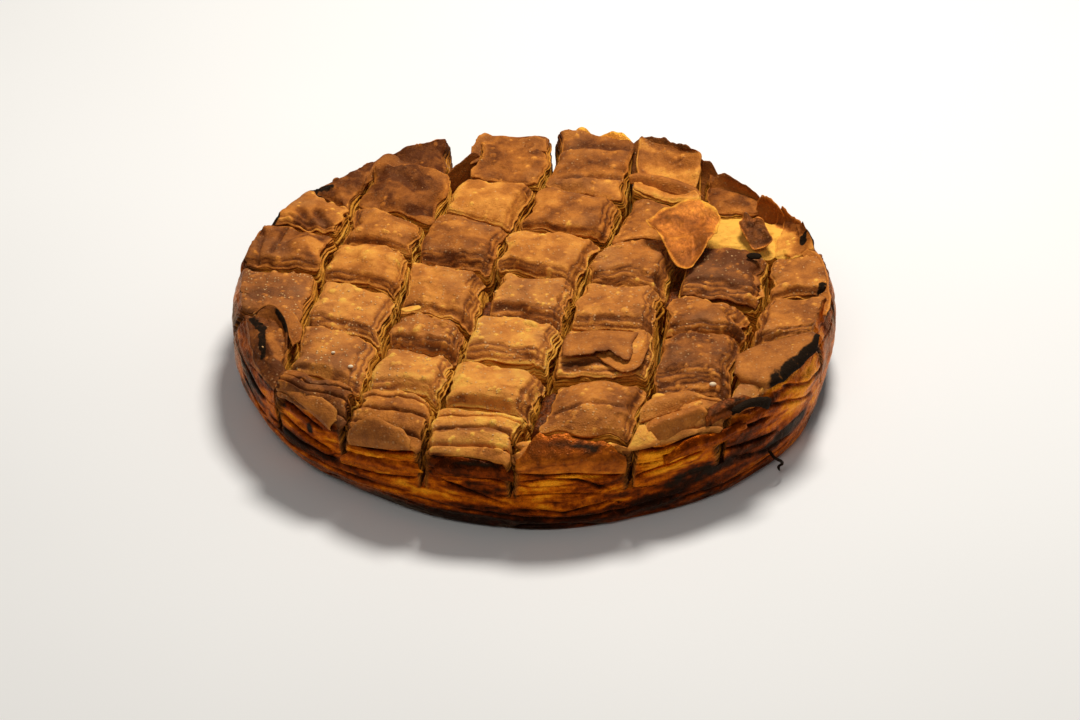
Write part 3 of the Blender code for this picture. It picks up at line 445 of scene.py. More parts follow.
# ---------------------------------------------------------------- noise in space
def lattice(cell, seed):
    """Random value from 0 to 1 for each whole-numbered point."""
    x, y, z = (cell[..., axis].astype(np.uint64) for axis in range(3))
    mixed = (x * np.uint64(374761393) + y * np.uint64(668265263)
             + z * np.uint64(2246822519) + np.uint64(seed) * np.uint64(3266489917))
    mixed &= np.uint64(0xFFFFFFFF)
    for _ in range(2):
        mixed = ((mixed ^ (mixed >> np.uint64(15))) * np.uint64(2246822519)) & np.uint64(0xFFFFFFFF)
    mixed ^= mixed >> np.uint64(13)
    return mixed.astype(float) / 0xFFFFFFFF


def lumps(points, size, seed, octaves=1):
    """Smooth noise from about -1 to 1. Its lumps are size long; a triple gives each axis its own."""
    total, weight, share = 0.0, 0.0, 1.0
    spot = points / np.asarray(size, float)
    for octave in range(octaves):
        place = spot * 2 ** octave + 31.7 * (octave + 1) + 4096
        cell = np.floor(place)
        part = place - cell
        part = part * part * (3 - 2 * part)
        cell = cell.astype(np.int64)
        value = 0.0
        for step in itertools.product((0, 1), repeat=3):
            near = lattice(cell + np.array(step), seed + 57 * octave)
            for axis in range(3):
                near = near * (part[..., axis] if step[axis] else 1 - part[..., axis])
            value = value + near
        total = total + share * (2 * value - 1)
        weight += share
        share *= 0.5
    return total / weight


def space(x, y, z=0.0):
    """Points (their last axis is x, y, z) from three sets of values."""
    return np.stack(np.broadcast_arrays(x, y, z), axis=-1).astype(float)


# ---------------------------------------------------------------- meshes
def ring_quads(rings, count):
    """Quads from each ring of count points to the next ring."""
    here = np.arange(rings - 1)[:, None] * count + np.arange(count)
    after = np.roll(here, -1, axis=1)
    return np.stack([here, after, after + count, here + count], axis=-1).reshape(-1, 4)


def grid_quads(index):
    """Quads between the points of a grid."""
    corners = index[:-1, :-1], index[1:, :-1], index[1:, 1:], index[:-1, 1:]
    return np.stack(corners, axis=-1).reshape(-1, 4)


def leaf_quads(face, rim, count):
    """Quads of both faces of a leaf, whose points follow each other, and of the edge between them."""
    below = rim + count
    side = np.stack([below, np.roll(below, -1), np.roll(rim, -1), rim], axis=1)
    return np.concatenate([face, face[:, ::-1] + count, side])


def masked(like, toast=0.0, char=0.0, wall=0.0, stain=0.0, grey=0.0, specks=0.0, oil=0.0):
    """The masks of points, one for each of the values that like has."""
    masks = toast, char, oil, wall, stain, grey, specks
    return np.stack([np.zeros_like(like) + mask for mask in masks], axis=-1)


def joined(parts):
    """Several meshes as one."""
    points, quads, caps, values, count = [], [], [], [], 0
    for part_points, part_quads, part_caps, part_values in parts:
        points.append(part_points)
        quads.append(part_quads + count)
        caps += [np.asarray(cap) + count for cap in part_caps]
        values.append(part_values)
        count += len(part_points)
    return np.concatenate(points), np.concatenate(quads), caps, np.concatenate(values)


def placed(name, data):
    """A new object in the scene."""
    made = bpy.data.objects.new(name, data)
    bpy.context.scene.collection.objects.link(made)
    return made


# ---------------------------------------------------------------- outer wall
def round_angle(angle):
    """Bring an angle between -pi and pi."""
    return np.mod(angle + math.pi, 2 * math.pi) - math.pi


def wall_point(angle, height):
    """Place (x, y) on the plain outer wall."""
    heights, radii = zip(*WALL)
    radius = np.interp(height, heights, radii)
    radius = radius + LOBE_DEPTH * np.cos(WALL_LOBES * (angle - LOBE_ANGLE))
    for count, depth, phase in WALL_WAVES:
        radius = radius + depth * np.sin(count * angle + phase)
    depth, middle, half_width, top = UNDERCUT
    off = round_angle(angle - middle) / half_width
    under = np.cos(off * math.pi / 2) ** 2 * (1.0 - np.minimum(height, top) / top) ** 2
    radius = radius - np.where(np.abs(off) < 1.0, depth * under, 0.0)
    drift = height / RIM_HEIGHT
    return radius * np.cos(angle) + RIM_DRIFT[0] * drift, radius * np.sin(angle) + RIM_DRIFT[1] * drift


def wall_angle(x, y, height):
    """Angle round the wall of a place."""
    drift = height / RIM_HEIGHT
    return np.arctan2(y - RIM_DRIFT[1] * drift, x - RIM_DRIFT[0] * drift)


PLEAT_PITCH = 6.5
PLEAT_DEPTH = 2.3
PLEAT_MOST = 1.2  # no fold stands out further
VEIL_PITCH = 2.1


def pleats(angle, height):
    """Folds of leaf along the wall: how far it stands out, and how deep in a crease it is (0 to 1), which
    darkens as painted shade.
    """
    spot = space(np.cos(angle) * RIM_RADIUS, np.sin(angle) * RIM_RADIUS, height)
    degrees = np.degrees(round_angle(angle))
    drawn, crease_shade, near_crease = 0.0, 0.0, 0.0
    for places, depth in WALL_CREASES:
        along, middle = zip(*places)
        off = height - np.interp(degrees, along, middle) - 1.1 * lumps(spot, (12, 12, 12), 17, 3)
        here = smooth(along[0] - 0.5, along[0] + 2, degrees) * smooth(along[-1] + 0.5, along[-1] - 2, degrees)
        groove = here * np.exp(-(off / 0.55) ** 2)
        roll = here * (np.exp(-((off + 2.4) / 1.9) ** 2) + 0.7 * np.exp(-((off - 2.2) / 1.6) ** 2))
        drawn = drawn - depth * groove + 0.45 * depth * roll
        crease_shade = np.maximum(crease_shade, groove)
        near_crease = np.maximum(near_crease, here * np.exp(-(off / 4.0) ** 2))
    wander = 1.3 * lumps(spot, (38, 38, 26), 11, 2) + 0.30 * lumps(spot, (13, 13, 9), 12, 2)
    phase = height / PLEAT_PITCH + wander
    part = phase - np.floor(phase)
    fold = space(np.floor(phase) * 7.3, spot[..., 0] / 26, spot[..., 1] / 26)
    strength = smooth(-0.25, 0.45, lumps(fold, 1.0, 13, 2)) * (1 - near_crease)
    bulge = np.clip(part / 0.22, 0, 1) ** 0.45 * (1 - 0.6 * part)
    out = PLEAT_DEPTH * strength * (bulge - 0.80) + drawn - 0.4
    # Painted shade: fold lines and fine creases only go into the crease mask, which darkens the tone.
    folds = strength * (np.exp(-(part / 0.06) ** 2) + np.exp(-((1 - part) / 0.06) ** 2))
    fine = height / VEIL_PITCH + 2.0 * lumps(spot, (16, 16, 5), 14, 3)
    fine_part = fine - np.floor(fine)
    veil = smooth(-0.1, 0.6, lumps(spot, (22, 22, 9), 15, 2))
    out = out + 0.45 * veil * (np.abs(2 * fine_part - 1) ** 0.7 - 0.9)
    out = out + 1.0 * lumps(spot, (14, 14, 10), 16, 3)
    fine_crease = 0.35 * veil * np.exp(-(fine_part / 0.1) ** 2)
    return np.minimum(out, PLEAT_MOST), np.clip(crease_shade + folds + fine_crease, 0, 1)


def wall_masks(angle, height):
    """Tone (0 yellow, 1 black-brown) and char of the wall, with painted shade towards its foot."""
    spot = space(np.cos(angle) * RIM_RADIUS, np.sin(angle) * RIM_RADIUS, height)
    tone = 0.46 + 0.66 * lumps(spot, (26, 26, 8), 21, 3) + 0.32 * lumps(spot, (7, 7, 2), 22, 3)
    # Painted shade: the wall darkens towards its foot.
    tone = tone + 0.18 * smooth(15, 2, height)
    char = 0.0
    ragged = 0.7 * lumps(spot, (9, 9, 2.6), 23, 3)
    for degrees, middle, half_width, half_height, darker, burnt in WALL_MARKS:
        across = np.degrees(round_angle(angle - math.radians(degrees))) / half_width
        reach = np.sqrt(across ** 2 + ((height - middle) / half_height) ** 2) + ragged
        patch = smooth(1.3, 0.4, reach)
        tone = tone + darker * patch
        char = np.maximum(char, burnt * patch)
    return np.clip(tone, 0, 1), np.clip(char * smooth(-0.6, 0.2, lumps(spot, (7, 7, 2.2), 24, 3)), 0, 1)


# ---------------------------------------------------------------- cuts and pieces
def long_side(number, shift):
    """A side along a cut from front to back: its kind, and its x at a y."""
    y_values, x_values = zip(*LONG_CUTS[number])
    return "long", lambda y: np.interp(y, y_values, x_values) + shift


def across_rim(y):
    """x of the rim at a y."""
    return math.sqrt(RIM_RADIUS ** 2 - y ** 2)


def cross_side(column, row, shift):
    """A side along a cut across a column: its kind, and its y at an x."""
    index = COLUMNS.index(column)
    left_y, right_y = CROSS_CUTS[column][row]
    left_x = long_side(index - 1, 0.0)[1](left_y) if index > 0 else -across_rim(left_y)
    right_x = long_side(index, 0.0)[1](right_y) if index < len(LONG_CUTS) else across_rim(right_y)
    slope = (right_y - left_y) / (right_x - left_x)
    start = left_y - slope * left_x
    return "cross", lambda x: start + slope * x + shift


OUTLINE = ("wall", None)


def meet_wall(point_at, way, heights):
    """Where a side, followed outwards, meets the outer wall at each height."""
    near, far = np.zeros_like(heights), np.full_like(heights, REACH * way)
    for _ in range(26):
        middle = (near + far) / 2
        x, y = point_at(middle)
        wall_x, wall_y = wall_point(wall_angle(x, y, heights), heights)
        inside = np.hypot(x, y) < np.hypot(wall_x, wall_y)
        near, far = np.where(inside, middle, near), np.where(inside, far, middle)
    return point_at(near)


def corner(first, second, heights, quarter):
    """Where two sides meet at each height, or None between two sides on the outer wall."""
    ways = dict([first, second])
    if "long" in ways and "cross" in ways:
        x = ways["long"](np.zeros_like(heights))
        for _ in range(8):
            y = ways["cross"](x)
            x = ways["long"](y)
        return x, y
    if "long" in ways:
        return meet_wall(lambda y: (ways["long"](y), y), quarter[1], heights)
    if "cross" in ways:
        return meet_wall(lambda x: (x, ways["cross"](x)), quarter[0], heights)
    return None


def loop_smooth(values, width):
    """Blur values that run round a closed loop (their last axis)."""
    reach = int(3 * width) + 1
    total, weight = 0.0, 0.0
    for step in range(-reach, reach + 1):
        share = math.exp(-0.5 * (step / width) ** 2)
        total = total + share * np.roll(values, step, axis=-1)
        weight += share
    return total / weight


def ripples(rng, count, points, waves, kept=0.6):
    """Random waves round a loop for each of several leaves, each like the leaf below it."""
    turn = np.linspace(0, 2 * math.pi, points, endpoint=False)
    rows = []
    for _ in range(count):
        row = sum(rng.normal() * np.cos(k * turn + rng.uniform(0, 6.28)) / k ** 0.5 for k in waves)
        rows.append(row if not rows else kept * rows[-1] + math.sqrt(1 - kept ** 2) * row)
    rows = np.array(rows)
    return rows / (rows.std() + 1e-9)


CELLS = 52  # along each side of a piece
LEAVES = 14  # stacked in a piece
SIDE_NAMES = ("front", "right", "back", "left")
CORNERS = ((0, 0), (1, 0), (1, 1), (0, 1))  # u from left to right, v from front to back


class Piece:
    """One piece of the cut top, from its floor in the cuts up to its toasted leaf."""

    def __init__(self, name):
        self.name = name
        self.column, self.row = name[0], int(name[1:]) - 1
        self.height, self.crown, self.turned_up, self.ridge, self.ridge_way = TOPS[name]
        self.seed = sum(ord(letter) * 13 ** place for place, letter in enumerate(name))
        self.rng = np.random.default_rng(self.seed)
        self.toast, self.grey, self.specks = BAKE[name]
        self.openings = OPENINGS.get(name, [])
        step = np.arange(CELLS) / CELLS
        self.u = np.concatenate([step, np.ones(CELLS), 1 - step, np.zeros(CELLS)])
        self.v = np.concatenate([np.zeros(CELLS), step, np.ones(CELLS), 1 - step])

    def side(self, which, levels):
        """A side of the piece: its kind, and where it runs at each level (0 foot, 1 top)."""
        back_off = lerp(SIDE_FOOT, SIDE_BACK_OFF[which], levels ** 1.5)
        back_off = back_off + WIDER_SIDES.get((self.name, which), 0.0)
        index = COLUMNS.index(self.column)
        if which in ("left", "right"):
            number = index - 1 if which == "left" else index
            shift = back_off if which == "left" else -back_off
            return long_side(number, shift) if 0 <= number < len(LONG_CUTS) else OUTLINE
        row = self.row - 1 if which == "front" else self.row
        shift = back_off if which == "front" else -back_off
        return cross_side(self.column, row, shift) if 0 <= row < len(CROSS_CUTS[self.column]) else OUTLINE

    def plain_top(self, u, v):
        """Height of the top as the part has it, with its ridges made sharper in the creases."""
        front, right, back, left = self.turned_up
        height = self.height + self.crown * 16 * u * (1 - u) * v * (1 - v)
        height = height + front * (1 - v) ** 3 + right * u ** 3 + back * v ** 3 + left * (1 - u) ** 3
        crest = self.crest(u, v)
        folded = float(self.name in FOLDED)
        rounded = 1.3 * np.sqrt(1 - (1 - crest) ** 2) - 0.3 - 1.5 * np.exp(-(crest / 0.15) ** 2)
        return height + self.ridge * lerp(0.35 * crest, rounded, folded)

    def crest(self, u, v):
        """1 on the ridges of the top and 0 in the creases between them."""
        along, across = (v, u) if self.ridge_way == "v" else (u, v)
        along = along + 0.05 * np.sin(4 * across + self.seed) * np.sin(math.pi * along)
        return np.abs(np.cos(3 * math.pi * along))

    def ridge_crease_shade(self, u, v):
        """1 in the creases between the folds of a folded piece, where painted shade darkens the top."""
        return (self.name in FOLDED) * np.exp(-(self.crest(u, v) / 0.22) ** 2)

    def outline(self, levels):
        """Places (level, point round the loop, x or y) of the piece's sides."""
        quarter = (-1 if self.column == "a" else 1, -1 if self.row == 0 else 1)
        sides = [self.side(which, levels) for which in SIDE_NAMES]
        heights = [lerp(CUT_FLOOR, self.plain_top(*map(float, spot)), levels) for spot in CORNERS]
        corners = [corner(sides[i - 1], sides[i], heights[i], quarter) for i in range(4)]
        for i in range(4):
            if corners[i] is None:
                before = wall_angle(*corners[i - 1], heights[i])
                after = wall_angle(*corners[(i + 1) % 4], heights[i])
                corners[i] = wall_point(before + round_angle(after - before) / 2, heights[i])
        rows = []
        kinds = [kind for kind, _ in sides]
        part = np.arange(CELLS)[None, :] / CELLS
        for i, kind in enumerate(kinds):
            start, end = (np.stack(c)[:, :, None] for c in (corners[i], corners[(i + 1) % 4]))
            x, y = lerp(start[0], end[0], part), lerp(start[1], end[1], part)
            if kind == "wall":
                span = slice(i * CELLS, (i + 1) * CELLS)
                z = lerp(CUT_FLOOR, self.plain_top(self.u[span], self.v[span])[None, :], levels[:, None])
                first, last = wall_angle(*start, z[:, :1]), wall_angle(*end, z[:, :1])
                x, y = wall_point(first + round_angle(last - first) * part, z)
            elif kind == "long":
                x = np.array([self.side(SIDE_NAMES[i], level)[1](row) for level, row in zip(levels, y)])
            else:
                y = np.array([self.side(SIDE_NAMES[i], level)[1](row) for level, row in zip(levels, x)])
            rows.append(np.stack([x, y], axis=-1))
        self.walled = np.repeat([float(kind == "wall") for kind in kinds], CELLS)
        return np.concatenate(rows, axis=1)


LEVELS = np.linspace(0, 1, 11)  # from the foot of a side to its top


def smooth_loops(points, width):
    """Blur loops of points (level, point round the loop, x or y)."""
    return np.moveaxis(loop_smooth(np.moveaxis(points, 2, 0), width), 0, 2)


def bare_sides(piece):
    """The sides of a piece without leaves at each level, and which way they face."""
    base = smooth_loops(piece.outline(LEVELS), 1.9)
    wobble = ripples(piece.rng, 2, len(piece.u), range(2, 7), 0.0) * [[0.45], [0.45]]
    wobble[1] += 0.30 * ripples(piece.rng, 1, len(piece.u), range(7, 22), 0.0)[0]
    ahead, behind = np.roll(base, -1, axis=1), np.roll(base, 1, axis=1)
    tangent = (ahead - behind) / (np.linalg.norm(ahead - behind, axis=2, keepdims=True) + 1e-9)
    normal = np.stack([tangent[..., 1], -tangent[..., 0]], axis=-1)
    normal = smooth_loops(normal, 1.5)
    sway = wobble[0] * LEVELS[:, None] + wobble[1] * LEVELS[:, None] ** 3
    return base + normal * (sway * (1 - piece.walled))[..., None], normal


def build_piece(name):
    """Mesh of one piece: its stacked leaves, its top and its loose leaves."""
    piece = Piece(name)
    base, normal = bare_sides(piece)
    walled = loop_smooth(piece.walled, 1.5)
    top = TopLeaf(piece, base[-1])
    rim = top.height(piece.u, piece.v, base[-1][:, 0], base[-1][:, 1])
    heights, outs, info = leaf_rings(piece, rim, walled)
    count = len(piece.u)
    share = np.clip((heights - CUT_FLOOR) / (rim - CUT_FLOOR), 0, 1)
    place = share * (len(LEVELS) - 1)
    lower = np.minimum(place.astype(int), len(LEVELS) - 2)
    part = (place - lower)[..., None]
    column = np.broadcast_to(np.arange(count), lower.shape)
    spot = lerp(base[lower, column], base[lower + 1, column], part)
    facing = lerp(normal[lower, column], normal[lower + 1, column], part)
    x, y = spot[..., 0], spot[..., 1]
    angle = wall_angle(x, y, heights)
    pleat, crease_shade = pleats(angle, heights)
    outs = outs + shut_near_wall(x, y, heights, share) * (1 - walled)
    for number, which in enumerate(SIDE_NAMES):
        here = loop_smooth(np.arange(count) // CELLS == number, 2.5)
        outs = outs + JOINED_SIDES.get((name, which), 0.0) * here * share ** 1.5
    outs = lerp(outs, pleat, walled)
    outs[0] = np.minimum(outs[0], -0.8)
    spot = spot + facing * outs[..., None]
    rings = np.concatenate([spot, heights[..., None]], axis=-1)
    grid = top.grid(rings[-1])
    masks = side_masks(piece, rings, info, walled, *wall_masks(angle, heights), crease_shade)
    return joined([assemble(rings, grid, masks, top.masks(grid))] + leaves_of(name))


def leaves_of(name):
    """The loose leaves of a piece or of the wall."""
    return [thin_leaf(*item[1:], seed=40 * number + 7) for number, item in enumerate(LOOSE_LEAVES)
            if item[0] == name]


def from_wall(x, y):
    """About how far in from the outer wall a place is."""
    return RIM_RADIUS + 3 - np.hypot(x - RIM_DRIFT[0], y - RIM_DRIFT[1])


def shut_near_wall(x, y, heights, share):
    """How far the sides lean into a cut where it ends at the wall."""
    degrees = np.degrees(wall_angle(x, y, heights))
    closing = 0.5
    for middle in SHUT_CUTS:
        closing = closing + 0.7 * smooth(7, 4, np.abs(degrees - middle))
    return smooth(12, 4, from_wall(x, y)) * 2.6 * share ** 1.5 * closing


def open_up(piece, gaps, depths):
    """Widen and deepen the gaps between leaves where the piece has its openings."""
    count = len(piece.u)
    for side, middle, half_width, opening, depth, above in piece.openings:
        along = piece.u if side in ("front", "back") else piece.v
        here = loop_smooth((np.arange(count) // CELLS == SIDE_NAMES.index(side)).astype(float), 1.0)
        bow = here * np.clip(1 - ((along - middle) / half_width) ** 2, 0, 1) ** 0.6
        bow = bow * (1 + 0.25 * ripples(piece.rng, 1, count, range(6, 20))[0])
        row = LEAVES - above
        gaps[row] = np.maximum(gaps[row], opening * bow)
        depths[row] = np.maximum(depths[row], depth * np.clip(bow, 0, 1) ** 0.5)


def leaf_rings(piece, rim, walled):
    """Heights and outward shifts of the rings up the sides, and the leaf and part of it each is on."""
    rng, count = piece.rng, len(piece.u)
    thick = rng.uniform(0.45, 1.6, LEAVES) * np.interp(np.arange(LEAVES), [0, 5, LEAVES], [3.0, 1.2, 0.8])
    thick[-1] = 0.8
    fractions = np.clip(np.concatenate([[0], np.cumsum(thick) / thick.sum()]), 0, 1)
    tall = rim - CUT_FLOOR
    wave = ripples(rng, LEAVES + 1, count, range(1, 9), 0.75) * 0.8
    borders = CUT_FLOOR + fractions[:, None] * tall + wave * (4 * fractions * (1 - fractions))[:, None] ** 0.5
    frontness = loop_smooth(np.repeat([1.3, 1.0, 0.6, 0.6], CELLS), 2)
    gaps = 0.10 + 0.50 * np.clip(ripples(rng, LEAVES + 1, count, range(1, 10), 0.2) + 0.1, 0, 1.6) * frontness
    depths = 0.6 + 1.0 * np.clip(ripples(rng, LEAVES + 1, count, range(1, 8), 0.3) + 0.3, 0, 2)
    open_up(piece, gaps, depths)
    gaps[0] = gaps[-1] = 0
    jag = ripples(rng, LEAVES, count, range(10, 24), 0.6) * 0.07 * frontness
    lean = ripples(rng, LEAVES, count, range(1, 7), 0.6) * 0.36 + rng.normal(0, 0.26, LEAVES)[:, None]
    fan = np.clip(fractions[1:, None] * 2 - 1, 0, 1) * np.clip(1 - fractions[1:, None], 0, 0.2) * 5
    lean = lean + 0.9 * fan * frontness
    lean[-1] = lean[-1] * 0.6 - 0.3
    heights, outs, info = [np.full(count, CUT_FLOOR - 0.8)], [np.full(count, -1.0)], [(0, "bottom")]
    for leaf in range(LEAVES):
        bottom = borders[leaf] + gaps[leaf] * (0.5 if leaf < LEAVES - 1 else 0.15)
        above = borders[leaf + 1] - gaps[leaf + 1] * (0.5 if leaf < LEAVES - 2 else 0.85)
        edge = (lean[leaf] + jag[leaf]) * lerp(0.3, 1.0, fractions[leaf + 1]) + 0.15
        if leaf == LEAVES - 1:
            edge = edge + 0.55 + 0.55 * ripples(rng, 1, count, range(2, 9))[0]
        body = np.maximum(above - bottom, 0.25)
        tuck = np.minimum(0.3 * body, 0.45)
        heights += [bottom, bottom + 0.5 * body]
        outs += [edge - tuck, edge]
        info += [(leaf, "bottom"), (leaf, "body")]
        if leaf < LEAVES - 1:
            heights += [above, borders[leaf + 1] - gaps[leaf + 1] * 0.35]
            outs += [edge - tuck, -depths[leaf + 1] * lerp(0.4, 1.0, fractions[leaf])]
            info += [(leaf, "top"), (leaf, "gap")]
    heights += [rim - 0.15, rim]
    outs += [edge - 0.12, edge - 0.5]
    info += [(LEAVES - 1, "top"), (LEAVES - 1, "top")]
    heights, outs = np.array(heights), np.array(outs)
    heights[-4] = np.minimum(heights[-4], rim - 0.75)
    heights[-3] = np.minimum(heights[-3], rim - 0.45)
    for row in range(len(heights) - 3, 0, -1):
        heights[row] = np.minimum(heights[row], heights[row + 1] - 0.03)
    heights[1:] = np.maximum(heights[1:], CUT_FLOOR - 0.1)
    even = np.linspace(0, 1, len(heights) - 1)[:, None]
    level = lerp(CUT_FLOOR - 0.1, rim, even)
    heights[1:] = lerp(heights[1:], level, walled)
    return heights, outs, info


# How far the top rolls down to its front, right, back and left edges.
EDGE_ROLLS = (1.5, 1.15, 0.7, 1.0)
ROLL_WIDTH = 6.5
# Where pieces of different seeds read the noise of their tops.
SHAPE_STEP, SHAPE_SPAN = 7.0, 97
TONE_STEP, TONE_SPAN = 11.0, 83


class TopLeaf:
    """The toasted leaf on top of a piece."""

    def __init__(self, piece, loop):
        self.piece = piece
        ring = loop.reshape(4, CELLS, 2)
        half = CELLS // 2
        self.width = float(np.linalg.norm(ring[1, half] - ring[3, half]))
        self.depth = float(np.linalg.norm(ring[0, half] - ring[2, half]))
        walls = [piece.side(which, np.zeros(1))[0] == "wall" for which in SIDE_NAMES]
        joined_on = [(piece.name, which) in JOINED_SIDES for which in SIDE_NAMES]
        self.open_edges = [0.0 if wall or shut else 1.0 for wall, shut in zip(walls, joined_on)]
        self.low, self.high = loop.min(0), loop.max(0)

    def edges(self, u, v):
        """Distance in from the front, right, back and left edges."""
        return v * self.depth, (1 - u) * self.width, (1 - v) * self.depth, u * self.width

    def height(self, u, v, x, y):
        """Height of the top, with all its folds, blisters and turned edges."""
        piece = self.piece
        spot = space(x, y, SHAPE_STEP * piece.seed % SHAPE_SPAN)
        calm = 0.45 if piece.ridge > 1.2 or piece.name in LEAF_COVERED else 1.0
        pillow = (16 * u * (1 - u) * v * (1 - v)) ** 0.5
        z = piece.plain_top(u, v) + calm * (2.0 * lumps(spot, 11, 31, 2) + 1.1 * pillow - 0.6)
        folds = 1 - np.abs(lumps(spot, (9, 6, 9), 32, 2)) * 3
        z = z + calm * 0.9 * np.clip(folds, 0, 1) ** 2 * smooth(-0.2, 0.5, lumps(spot, 17, 33))
        z = z + 0.30 * lumps(spot, 2.8, 34, 2)
        for bx, by, radius, rise, _ in BLISTERS:
            reach = np.hypot(x - bx, y - by) / radius * (1 + 0.12 * lumps(spot, 6, 35))
            z = z + rise * np.clip(1 - reach ** 2, 0, 1) ** 0.7
        z = z + self.little_blisters(spot)[0] - self.layers(u, v, spot)[0]
        z = z + self.lifted(u, v)
        for start, end, depth, width in CREASES:
            off = off_line(x, y, start, end) + 0.8 * lumps(spot, 9, 37, 2)
            z = z - depth * np.exp(-(off / width) ** 2)
        for distance, is_open, roll in zip(self.edges(u, v), self.open_edges, EDGE_ROLLS):
            roll = roll * (0.75 + 0.7 * lumps(spot, 12, 38))
            z = z - is_open * roll * np.clip(1 - distance / ROLL_WIDTH, 0, 1) ** 2.5
            curl = 0.15 + 0.8 * lumps(spot, (8, 8, 8), 36, 2)
            z = z + is_open * curl * np.exp(-(distance / 1.6) ** 2)
            z = z - 0.15 * np.exp(-(distance / 0.5) ** 2)
        return z

    def layers(self, u, v, spot):
        """Leaves that end before the edge: how far down it is, how shaded by a lip, how many are gone."""
        drop, shade, gone = 0.0, 0.0, 0.0
        distances = dict(zip(SIDE_NAMES, self.edges(u, v)))
        for side, (reach, count) in LAYERED.get(self.piece.name, {}).items():
            for number in range(count):
                wavy = (0.16 * reach + 0.5) * lumps(spot + 3 * number, 10, 61 + number, 2)
                off = distances[side] - reach * (1 - number / count) - wavy - 0.3 * lumps(spot, 2.5, 69)
                ended = smooth(0.4, -0.4, off)
                drop = drop + LAYER_STEP * ended
                shade = np.maximum(shade, ended * np.exp(-((off + 0.7) / 0.65) ** 2))
                gone = gone + ended
        return drop, shade, gone

    def lifted(self, u, v):
        """The leaf arches up over an opening under its edge."""
        lift = 0.0
        distances = dict(zip(SIDE_NAMES, self.edges(u, v)))
        for side, middle, half_width, opening, _, above in self.piece.openings:
            if above > 1:
                continue
            along = u if side in ("front", "back") else v
            bow = np.clip(1 - ((along - middle) / half_width) ** 2, 0, 1)
            lift = lift + 0.3 * opening * bow * np.exp(-distances[side] / 4.0)
        return lift

    def little_blisters(self, spot):
        """Small round blisters strewn over the leaf: their height, and where they are (0 to 1)."""
        rng = np.random.default_rng(self.piece.seed + 5)
        rise, golden = 0.0, 0.0
        for _ in range(int(10 + 26 * self.piece.specks)):
            bx, by = lerp(self.low, self.high, rng.uniform(0, 1, 2))
            radius = rng.uniform(0.7, 1.0) * (1.0 + 1.6 * rng.random() ** 4)
            reach = np.hypot(spot[..., 0] - bx, spot[..., 1] - by) / radius
            bump = np.clip(1 - reach ** 2, 0, 1)
            rise = rise + 0.50 * radius * bump ** 0.7
            golden = np.maximum(golden, smooth(0.1, 0.6, bump))
        return rise, golden

    def grid(self, ring):
        """Points (u step, v step, xyz) of the top, inside and on its edge."""
        n = CELLS
        grid = np.zeros((n + 1, n + 1, 3))
        grid[np.arange(n), 0], grid[n, np.arange(n)] = ring[:n], ring[n:2 * n]
        grid[n - np.arange(n), n], grid[0, n - np.arange(n)] = ring[2 * n:3 * n], ring[3 * n:]
        u, v = np.meshgrid(np.arange(n + 1) / n, np.arange(n + 1) / n, indexing="ij")
        uu, vv = u[..., None], v[..., None]
        blend = lerp(grid[:, :1], grid[:, -1:], vv) + lerp(grid[:1], grid[-1:], uu)
        front, back = lerp(grid[:1, :1], grid[-1:, :1], uu), lerp(grid[:1, -1:], grid[-1:, -1:], uu)
        blend = blend - lerp(front, back, vv)
        grid[1:-1, 1:-1, :2] = blend[1:-1, 1:-1, :2]
        z = self.height(u, v, grid[..., 0], grid[..., 1])
        grid[1:-1, 1:-1, 2] = z[1:-1, 1:-1]
        self.u, self.v = u, v
        return grid

    def masks(self, grid):
        """Masks of the top, with painted shade in its creases and under the lips of ended leaves."""
        piece = self.piece
        x, y = grid[..., 0], grid[..., 1]
        spot = space(x, y, TONE_STEP * piece.seed % TONE_SPAN)
        toast = piece.toast + 0.02 + 0.20 * lumps(spot, 13, 41, 2) + 0.10 * lumps(spot, 3.5, 42, 2)
        toast = toast + 0.16 * (smooth(-0.16, 0.16, lumps(spot, 8, 43, 2)) - 0.5)
        # Painted shade: darker in the creases between the folds of a folded piece.
        toast = toast + 0.40 * piece.ridge_crease_shade(self.u, self.v)
        _, shade, gone = self.layers(self.u, self.v, space(x, y, SHAPE_STEP * piece.seed % SHAPE_SPAN))
        under = np.clip(gone, 0, 1)
        inner = 0.30 + 0.25 * (piece.toast - 0.5) + 0.18 * lumps(spot, (7, 7, 7), 70, 2)
        toast = lerp(toast, inner, 0.75 * under)
        toast = toast + 0.6 * shade
        # Painted shade: the top darkens along each pressed crease.
        for start, end, depth, width in CREASES:
            if depth > 0:
                toast = toast + 0.35 * np.exp(-(off_line(x, y, start, end) / width) ** 2)
        grey = piece.grey * smooth(-0.1, 0.5, lumps(spot, 14, 44, 2)) * (1 - under)
        golden = 0.0
        for distance, is_open in zip(self.edges(self.u, self.v), self.open_edges):
            reach = distance / (1.8 + 1.4 * lumps(spot, 8, 45, 2))
            golden = np.maximum(golden, is_open * np.exp(-np.clip(reach, 0, 9) ** 2))
        golden = golden * smooth(-0.5, 0.4, lumps(spot, 11, 46, 2))
        toast = toast - 0.30 * golden
        grey = grey * (1 - golden)
        for bx, by, radius, _, gold in BLISTERS:
            reach = np.hypot(x - bx, y - by) / radius
            patch = smooth(1.1, 0.4, reach)
            toast = lerp(toast, toast * 0.45, gold * patch)
            grey = grey * (1 - patch)
        bumps = self.little_blisters(spot)[1]
        toast = toast - 0.34 * bumps
        grey = grey * (1 - bumps)
        toast = lerp(toast, 0.12, patched("gold", x, y, spot))
        toast = lerp(toast, 0.95, patched("dark", x, y, spot))
        char = patched("char", x, y, spot)
        return masked(x, toast=toast, char=char, grey=grey, specks=piece.specks)


